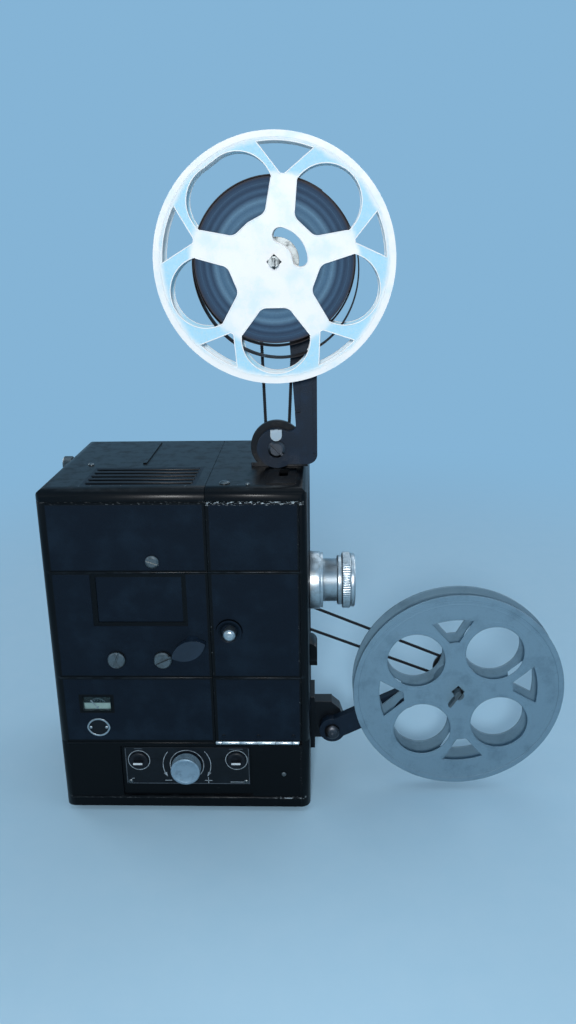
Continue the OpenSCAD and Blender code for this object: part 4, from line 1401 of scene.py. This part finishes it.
@dataclass
class Knobs:
    """Turned knobs whose knurling is too fine for the solids."""

    machine: Machine
    paints: Paintbox

    def build(self) -> None:
        """Make the knobs that stand for the plain solids."""
        self._speed_knob()
        self._side_knob()
        self._focus_ring()

    def _speed_knob(self) -> None:
        """The wide speed knob: dished face, fluted side and a skirt."""
        place = self.machine.front(106.3, 45.5, 0.1)
        profile = [
            (3.0, -15.8), (3.0, 0.0), (11.4, 0.0), (11.4, 1.0), (12.1, 1.4), (12.4, 1.7), (12.4, 4.0),
            (12.35, 7.0), (12.3, 9.4), (12.1, 9.9), (11.5, 10.3), (10.2, 10.3), (9.5, 9.85), (6.0, 9.75),
            (3.0, 9.7), (0.1, 9.7),
        ]
        stock = Stock("speed_knob_turned", place).lathe(profile, 240, Knurl(48, 0.5, 1.6, 9.5))
        knob = stock.finish(self.paints.slot(Slot.KNOB_ALUMINIUM), "speed_knob", Slot.KNOB_ALUMINIUM)
        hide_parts("speed_knob")

    def _side_knob(self) -> None:
        """The knurled knob on the lamp side."""
        place = self.machine.flank(128, 275, 0, -1)
        profile = [
            (3.0, -10.0), (3.0, 0.2), (4.5, 0.2), (4.5, 2.8), (6.0, 3.5), (6.9, 4.3), (7.0, 4.6),
            (7.0, 10.9), (6.9, 11.1), (6.1, 12.0), (4.6, 12.0), (4.2, 11.7), (0.1, 11.6),
        ]
        stock = Stock("side_knob_turned", place).lathe(profile, 216, Knurl(36, 0.5, 4.5, 11.0))
        # The knob takes the darkened nickel: painted shade, with tarnish patches.
        knob = stock.finish(self.paints.tarnished_shaded_nickel, "side_knob", Slot.NICKEL)
        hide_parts("side_knob")

    def _focus_ring(self) -> None:
        """The knurled ring on the lens."""
        place = self.machine.flank(42, 196.5, 237.15, 1)
        profile = [
            (19.05, 0.0), (22.3, 0.0), (22.9, 0.5), (23.2, 0.9), (23.2, 6.0), (22.9, 6.4), (22.3, 6.9),
            (19.05, 6.9),
        ]
        stock = Stock("focus_ring_turned", place).lathe(profile, 360, Knurl(72, 0.55, 0.8, 6.1), closed=True)
        ring = stock.finish(self.paints.slot(Slot.NICKEL), "focus_ring", Slot.NICKEL)
        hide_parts("focus_ring")


@dataclass
class Belts:
    """Round coil belts in place of the plain square ones."""

    machine: Machine
    paints: Paintbox
    layout: Layout
    coil_pitch: float = 1.5
    per_coil: int = 3

    def build(self) -> None:
        """Make both outer belts."""
        lay = self.layout
        feed = self._belt(
            "feed_belt_coil", lay.feed_pivot, lay.feed_pitch[0], lay.feed_hub, lay.feed_pitch[1], lay.feed_belt_y,
        )
        piece = feed.finish(self.paints.slot(Slot.BELT), "upper_arm", Slot.BELT, 60.0)
        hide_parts("upper_belt")
        take = self._belt(
            "takeup_belt_coil", lay.take_hub, lay.take_pitch[0], lay.drive_pulley, lay.take_pitch[1], lay.take_belt_y,
        )
        piece = take.finish(self.paints.slot(Slot.BELT), None, Slot.BELT, 60.0)
        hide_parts("takeup_belt")
        start = self.machine.at(lay.drive_pulley[0], lay.take_belt_y, lay.drive_pulley[1])
        end = self.machine.at(lay.take_hub[0], lay.take_belt_y, lay.take_hub[1])
        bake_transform(piece)

    def _belt(self, name: str, first: Point2, first_r: float, second: Point2, second_r: float, y: float) -> Stock:
        """One belt loop.

        Args:
            name: the piece's name.
            first: centre of one pulley.
            first_r: its pitch radius.
            second: centre of the other.
            second_r: its pitch radius.
            y: the belt's plane.

        Returns:
            The unfinished piece.
        """
        path = Shapes.loop(first, first_r, second, second_r, self.coil_pitch / self.per_coil)
        wires = [self.layout.belt_r, self.layout.belt_r - 0.1, self.layout.belt_r - 0.28]
        return Stock(name, self.machine.front(0, 0, y)).cord(path, 0.0, lambda i: wires[i % self.per_coil])


@dataclass
class FilmRoll:
    """The wound film: a pack with fine turns and its last two turns loose."""

    machine: Machine
    paints: Paintbox
    layout: Layout
    core_r: float = 30.0
    pack_r: float = 59.0
    film_t: float = 0.34
    loose_turns: float = 2.1
    turn_steps: int = 120

    def build(self) -> None:
        """Make the pack and the loose turns."""
        film = self.paints.slot(Slot.FILM)
        place = self.machine.front(*self.layout.feed_hub)
        pack = Stock("film_pack", place).lathe(self._pack_section(), 180, closed=True)
        piece = pack.finish(film, "feed_reel", Slot.FILM, 50.0)
        loose = Stock("film_loose_turns", place)
        steps = int(self.loose_turns * self.turn_steps)
        path = [self._turn_point(i / self.turn_steps) for i in range(steps + 1)]
        loose.strip(path, self.film_t, -self.layout.film_far, -self.layout.film_near)
        turns = loose.finish(film, "feed_reel", Slot.FILM, 40.0)
        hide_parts("film_roll")
        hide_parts("film_roll")

    def _pack_section(self) -> list[Point2]:
        """Ring section of the pack, its sides ridged by turns that stand proud.

        Returns:
            Radius and height of each point.
        """
        rough = random.Random(16)
        radii = [self.core_r + 0.7 * i for i in range(1, int((self.pack_r - self.core_r) / 0.7))]
        near, far = -self.layout.film_near, -self.layout.film_far
        front = [(r, near - 0.28 * rough.random()) for r in radii]
        back = [(r, far + 0.28 * rough.random()) for r in reversed(radii)]
        rim = [(self.pack_r, near), (self.pack_r, far)]
        return [(self.core_r, near)] + front + rim + back + [(self.core_r, far)]

    def _turn_radius(self, turns: float) -> float:
        """Radius of the loose film after some turns.

        Args:
            turns: turns from where it leaves the pack.

        Returns:
            The radius.
        """
        late = min(1.0, max(0.0, turns - 0.75) / 0.75)
        sag = 2.2 * min(1.0, turns * 2) + 9 * late * late * (3 - 2 * late)
        lift = -0.6 + 0.85 * min(1.0, turns * 12)
        angle = math.radians(90 - 360 * turns)
        return self.pack_r + lift + 0.42 * turns + sag * ((1 + math.cos(angle + math.radians(75))) / 2) ** 3

    def _turn_point(self, turns: float) -> Point2:
        """Place of the loose film after some turns, about the hub."""
        angle = math.radians(90 - 360 * turns)
        radius = self._turn_radius(turns)
        return (radius * math.cos(angle), radius * math.sin(angle))


@dataclass
class ReelLips:
    """The take-up reel's rolled lips and its core."""

    machine: Machine
    paints: Paintbox
    layout: Layout
    frame: dict
    reel_r: float = 89.0
    lip_r: float = 0.3
    pitch: float = 1.2
    rim_width: float = 6.0
    hub_reach: float = 14.0

    def build(self) -> None:
        """Make the lips of both flanges and the core."""
        lay = self.layout
        for side, level in (("front", lay.front_flange_y), ("rear", lay.rear_flange_y)):
            node = self.frame["nodes"][f"lower_reel_{side}_flange"]
            stock = Stock(f"lower_reel_{side}_lips", self.machine.front(0, 0, level))
            for loop in Shapes.window_loops(node, self.machine, level):
                reach = [math.dist(p, lay.take_hub) for p in loop]
                if min(reach) > self.reel_r - self.rim_width or max(reach) < self.hub_reach:
                    continue
                stock.cord(Shapes.even(loop, self.pitch), 0.0, lambda i: self.lip_r, 8)
            stock.finish(self.paints.lips[Slot.REEL_GREY], "takeup_reel", Slot.REEL_GREY, 50.0)
        self._slim_core()

    def _slim_core(self) -> None:
        """Make the empty reel's core, slim enough to stay behind the arms between the windows."""
        near, far = -self.layout.front_flange_y - 1.2, -self.layout.rear_flange_y
        section = [
            (17.2, near), (19.4, near), (19.4, near - 1.0), (18.9, near - 1.5), (18.9, far + 1.5), (19.4, far + 1.0),
            (19.4, far), (17.2, far),
        ]
        stock = Stock("lower_reel_core_turned", self.machine.front(*self.layout.take_hub))
        stock.lathe(section, 120, closed=True)
        piece = stock.finish(self.paints.slot(Slot.REEL_GREY), "takeup_reel", Slot.REEL_GREY)
        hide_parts("lower_reel_core")


@dataclass
class FeedFlanges:
    """The feed reel's two pressed flanges, with their uneven windows, slots and rolled lips."""

    machine: Machine
    paints: Paintbox
    layout: Layout
    reel_r: float = 89.0
    sheet_t: float = 1.2
    rim_w: float = 4.5
    rim_rise: float = 0.6
    bowl_at: float = 55.7
    bowl_r: float = 26.0
    waist: float = 52.4
    throat_at: Point2 = (40.7, 6.2)
    throat_r: float = 8.0
    window_angles: tuple[float, ...] = (47.1, 202.3, 270.3, 338.9, 116.8, 131.2)
    wide_at: float = 124.0
    slots: tuple[Point2, ...] = ((83.4, 14.6), (165.4, 14.6), (237.6, 11.5), (304.6, 11.5), (13.0, 11.7))
    slot_reach: Point2 = (60.6, 82.4)
    thread_ring: Point2 = (13.2, 25.0)
    thread_span: Point2 = (4.0, 76.0)
    square_side: float = 8.0
    lip_r: float = 0.42
    pitch: float = 1.2

    def build(self) -> None:
        """Make both flanges."""
        lay = self.layout
        for side, outer_y, inward in (("front", lay.front_flange_y, -1.0), ("rear", lay.rear_flange_y, 1.0)):
            place = self.machine.front(*lay.feed_hub)
            face, back = -outer_y, -outer_y + inward * self.sheet_t
            stock = Stock(f"upper_reel_{side}_sheet", place)
            outline = Shapes.circle(self.reel_r - 0.1, 240)
            edges = stock.sheet(outline, self._holes(), min(face, back), max(face, back))
            rim = Shapes.circle(self.reel_r, 240)
            proud = face - inward * self.rim_rise
            inner = Shapes.circle(self.reel_r - self.rim_w, 240)
            stock.band(rim, inner, min(proud, face + inward * 0.6), max(proud, face + inward * 0.6))
            sheet = stock.finish(self.paints.slot(Slot.REEL_BRIGHT), "feed_reel", Slot.REEL_BRIGHT, 40.0)
            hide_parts(f"upper_reel_{side}_flange")
            lips = Stock(f"upper_reel_{side}_lips", place)
            for loop in edges:
                reach = [math.hypot(*p) for p in loop]
                if max(reach) > self.reel_r - 1.0 or max(reach) < self.square_side:
                    continue
                lips.cord(Shapes.even(loop, self.pitch), face, lambda i: self.lip_r, 8)
            lips.finish(self.paints.lips[Slot.REEL_BRIGHT], "feed_reel", Slot.REEL_BRIGHT, 50.0)

    def _holes(self) -> list[Outline]:
        """All the holes; those of one window run together.

        Returns:
            The holes' outlines.
        """
        holes = []
        for angle in self.window_angles:
            holes += [Shapes.turned(part, angle) for part in self._window()]
        reach = self.bowl_at + self.bowl_r - 0.5
        holes.append(Shapes.turned([(45.0, 0.0)] + Shapes.arc(reach, -5.8, 5.8, 9), self.wide_at))
        for angle, half in self.slots:
            holes.append(Shapes.turned(self._slot(half), angle))
        holes.append(self._thread_hole())
        reach = self.square_side / math.sqrt(2)
        holes.append([(reach, 0.0), (0.0, reach), (-reach, 0.0), (0.0, -reach)])
        return holes

    def _window(self) -> list[Outline]:
        """Parts of one window on the x axis: bowl, throat and the taper between them.

        Returns:
            The parts' outlines, which overlap.
        """
        turn = math.degrees(math.acos((self.waist - self.bowl_at) / self.bowl_r))
        bowl = Shapes.arc(self.bowl_r, -turn, turn, 56, (self.bowl_at, 0.0))
        x, y = self.throat_at
        floor = x - 0.998 * self.throat_r
        taper = [
            (floor, y), (floor, -y), (x, -y), (35.95, -12.5), (self.waist + 0.3, -25.6), (self.waist + 0.3, 25.6),
            (35.95, 12.5), (x, y),
        ]
        throats = [Shapes.circle(self.throat_r, 40, (x, side * y)) for side in (-1, 1)]
        return [bowl, taper] + throats

    def _slot(self, half: float) -> Outline:
        """Outline of a slot on the x axis that narrows to its tip.

        Args:
            half: half its width at the rim, in degrees.

        Returns:
            The outline.
        """
        near, far = self.slot_reach
        tip = near - 1.6
        run = far * math.cos(math.radians(half)) - tip
        rise = far * math.sin(math.radians(half))
        a, b, c = run * run + rise * rise, 2 * tip * run, tip * tip - near * near
        share = (-b + math.sqrt(b * b - 4 * a * c)) / (2 * a)
        mouth = math.degrees(math.atan2(share * rise, tip + share * run))
        return Shapes.arc(far, -half, half, 24) + Shapes.arc(near, mouth, -mouth, 3)

    def _thread_hole(self) -> Outline:
        """Outline of the bean-shaped threading hole.

        Returns:
            The outline.
        """
        near, far = self.thread_ring
        start, end = self.thread_span
        middle, cap = (near + far) / 2, (far - near) / 2
        ends = []
        for angle, first in ((end, end), (start, start + 180.0)):
            a = math.radians(angle)
            at = (middle * math.cos(a), middle * math.sin(a))
            ends.append(Shapes.arc(cap, first, first + 180.0, 16, at))
        outer, inner = Shapes.arc(far, start, end, 24)[1:-1], Shapes.arc(near, end, start, 16)[1:-1]
        return outer + ends[0] + inner + ends[1]


@dataclass
class Dresser:
    """Gives every CAD node its finish and softens its edges."""

    frame: dict
    paints: Paintbox
    wrinkled: tuple[str, ...] = ("upper_arm", "lower_arm")
    # Nodes in the darkened nickel: painted shade, with its tarnish patches.
    tarnished_shaded_nickel: tuple[str, ...] = (
        "lamp_adjuster_left", "lamp_adjuster_right", "upper_spindle_catch", "lower_spindle_catch", "cover_screws",
        "upper_spindle", "lower_spindle",
    )
    plain: tuple[str, ...] = ("lens_glass", "condenser_lenses", "projection_lamp", "lamp_reflector")
    edge_mm: float = 0.28

    def build(self) -> None:
        """Dress all nodes."""
        slots = {part["node"]: Slot(part["material_slot"]) for part in self.frame["record"]["subparts"]}
        for name, node in self.frame["nodes"].items():
            material = self.paints.slot(slots[name])
            if name in self.wrinkled:
                material = self.paints.wrinkle
            if name == "still_lever":
                material = self.paints.lever
            if name in self.tarnished_shaded_nickel:
                material = self.paints.tarnished_shaded_nickel
            node.data.materials.clear()
            node.data.materials.append(material)
            if name not in self.plain:
                self._soften(node)
            LOG.info("node %s in %s", name, material.name)

    def _soften(self, node: bpy.types.Object) -> None:
        """Round a node's sharp edges a little.

        Args:
            node: the object to soften.
        """
        weld = node.modifiers.new("weld", "WELD")
        weld.merge_threshold = 0.002 * MM
        bevel = node.modifiers.new("edges", "BEVEL")
        bevel.width = self.edge_mm * MM
        bevel.segments = 2
        bevel.limit_method = "ANGLE"
        bevel.angle_limit = math.radians(40)
        bevel.use_clamp_overlap = True


@dataclass
class Studio:
    """Floor, backdrop, lamps and the camera at the photograph's viewing angle."""

    machine: Machine
    camera_at: tuple[float, float, float] = (217.8, -623.4, 469.3)
    yaw_deg: float = -2.099
    pitch_deg: float = 17.789
    roll_deg: float = 0.920
    lens_mm: float = 30.31
    floor_colour: Colour = (0.33, 0.54, 0.70)
    wall_colour: Colour = (0.235, 0.455, 0.67)
    wall_y: float = 3.2

    def build(self) -> None:
        """Make the studio."""
        scene = bpy.context.scene
        scene.view_settings.view_transform = "Standard"
        self._sweep()
        self._lamps()
        self._world()
        self._camera()

    def _sweep(self) -> None:
        """Floor and wall in one sheet with a rounded inner corner."""
        half, front, height, bend = 6.0, -6.0, 6.0, 1.2
        path = [(front, 0.0), (self.wall_y - bend, 0.0)]
        for i in range(1, 13):
            a = math.pi / 2 * i / 12
            path.append((self.wall_y - bend + bend * math.sin(a), bend - bend * math.cos(a)))
        path.append((self.wall_y, height))
        sheet = bmesh.new()
        rows = [[sheet.verts.new((x, y, z)) for y, z in path] for x in (-half, half)]
        for i in range(len(path) - 1):
            sheet.faces.new((rows[0][i], rows[1][i], rows[1][i + 1], rows[0][i + 1]))
        data = bpy.data.meshes.new("studio_sweep")
        sheet.to_mesh(data)
        sheet.free()
        data.polygons.foreach_set("use_smooth", [True] * len(data.polygons))
        data.materials.append(self._paper())
        sweep = bpy.data.objects.new("studio_sweep", data)
        bpy.context.scene.collection.objects.link(sweep)

    def _paper(self) -> bpy.types.Material:
        """Pale paper that takes shadows near the machine and has one even tone farther off.

        Returns:
            The material.
        """
        g = Graph("studio_paper")
        x, y, z = g.split(g.place())
        far = (x * x + y * y + z * z).root().rise(0.45, 1.25)
        fibre = g.noise(g.place(), 40.0, 3.0)
        near = g.node("ShaderNodeBsdfPrincipled", None, {
            "Base Color": g.tint(fibre * 0.06, self.floor_colour, (0.9, 0.92, 0.95)),
            "Roughness": 0.85 + 0.1 * fibre, "Specular IOR Level": 0.2,
        })
        even = g.node("ShaderNodeEmission", None, {"Color": self.wall_colour, "Strength": 1.0})
        both = g.node("ShaderNodeMixShader", None, {0: far * self._seen(g), 1: g.sig(near), 2: g.sig(even)})
        g.node("ShaderNodeOutputMaterial", None, {"Surface": g.sig(both)})
        return g.material

    @staticmethod
    def _seen(g: Graph) -> Sig:
        """1 for what is seen straight, in gloss or through glass, 0 for what only lights.

        Args:
            g: the nodes it is added to.

        Returns:
            The share.
        """
        rays = g.node("ShaderNodeLightPath")
        seen = g.sig(rays, "Is Camera Ray") + g.sig(rays, "Is Glossy Ray") + g.sig(rays, "Is Transmission Ray")
        return seen.least(1.0)

    def _lamp(self, name: str, place: Vector, goal: Vector, size: float, watts: float, colour: Colour) -> None:
        """One square soft lamp.

        Args:
            name: the lamp's name.
            place: where it stands.
            goal: what it points at.
            size: side of the square, in metres.
            watts: its power.
            colour: its colour.
        """
        data = bpy.data.lights.new(name, "AREA")
        data.size = size
        data.energy = watts
        data.color = colour
        lamp = bpy.data.objects.new(name, data)
        lamp.location = place
        lamp.rotation_euler = (goal - place).to_track_quat("-Z", "Y").to_euler()
        bpy.context.scene.collection.objects.link(lamp)

    def _lamps(self) -> None:
        """A key beside the camera and large soft fills on all sides."""
        middle = Vector((0.0, -0.02, 0.28))
        self._lamp("key", Vector((-0.02, -1.19, 0.64)), Vector((0.02, 0.0, 0.3)), 0.14, 10.5, (1.0, 1.0, 1.0))
        self._lamp("left_fill", Vector((-1.3, -0.7, 0.8)), middle, 1.1, 2.2, (0.92, 0.97, 1.0))
        self._lamp("right_fill", Vector((1.4, -0.5, 0.9)), middle, 1.1, 1.8, (0.92, 0.97, 1.0))
        self._lamp("top_fill", Vector((0.0, -0.1, 1.7)), middle, 1.2, 3.5, (0.95, 0.98, 1.0))
        self._lamp("rear_fill", Vector((0.5, 1.4, 1.9)), middle, 1.4, 8.0, (0.95, 0.98, 1.0))
        for name, side in (("left_rear", -1.0), ("right_rear", 1.0)):
            self._lamp(name, Vector((1.55 * side, 0.95, 0.6)), middle, 0.9, 9.0, (0.95, 0.98, 1.0))

    def _world(self) -> None:
        """Even pale surround."""
        world = bpy.data.worlds.new("studio_world")
        g = Graph("studio_world", world)
        light = g.node("ShaderNodeBackground", None, {"Color": (0.62, 0.74, 0.86), "Strength": 0.32})
        shown = g.node("ShaderNodeBackground", None, {"Color": self.wall_colour, "Strength": 1.0})
        both = g.node("ShaderNodeMixShader", None, {0: self._seen(g), 1: g.sig(light), 2: g.sig(shown)})
        g.node("ShaderNodeOutputWorld", None, {"Surface": g.sig(both)})
        bpy.context.scene.world = world

    def _camera(self) -> None:
        """The camera at the photograph's place."""
        yaw, pitch, roll = (math.radians(a) for a in (self.yaw_deg, self.pitch_deg, self.roll_deg))
        ahead = Vector((math.sin(yaw) * math.cos(pitch), math.cos(yaw) * math.cos(pitch), -math.sin(pitch)))
        level = Vector((math.cos(yaw), -math.sin(yaw), 0.0))
        down = ahead.cross(level)
        right = level * math.cos(roll) + down * math.sin(roll)
        low = down * math.cos(roll) - level * math.sin(roll)
        data = bpy.data.cameras.new("camera")
        data.lens = self.lens_mm
        data.sensor_width = 36.0
        camera = bpy.data.objects.new("camera", data)
        turn = Matrix((right, -low, -ahead)).transposed().to_4x4()
        camera.matrix_world = Matrix.Translation(self.machine.at(*self.camera_at)) @ turn
        bpy.context.scene.collection.objects.link(camera)
        bpy.context.scene.camera = camera


def main() -> None:
    """Load the frame, dress it, add the small pieces, and set up the studio."""
    logging.basicConfig(level=logging.INFO, format="%(name)s: %(message)s")
    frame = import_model()
    machine = Machine.from_frame()
    layout = Layout()
    paints = Paintbox(machine, layout)
    Studio(machine).build()
    Dresser(frame, paints).build()
    Trim(machine, paints).build()
    PanelMarks(machine, paints).build()
    Knobs(machine, paints).build()
    Belts(machine, paints, layout).build()
    FilmRoll(machine, paints, layout).build()
    ReelLips(machine, paints, layout, frame).build()
    FeedFlanges(machine, paints, layout).build()


if __name__ == "__main__":
    main()
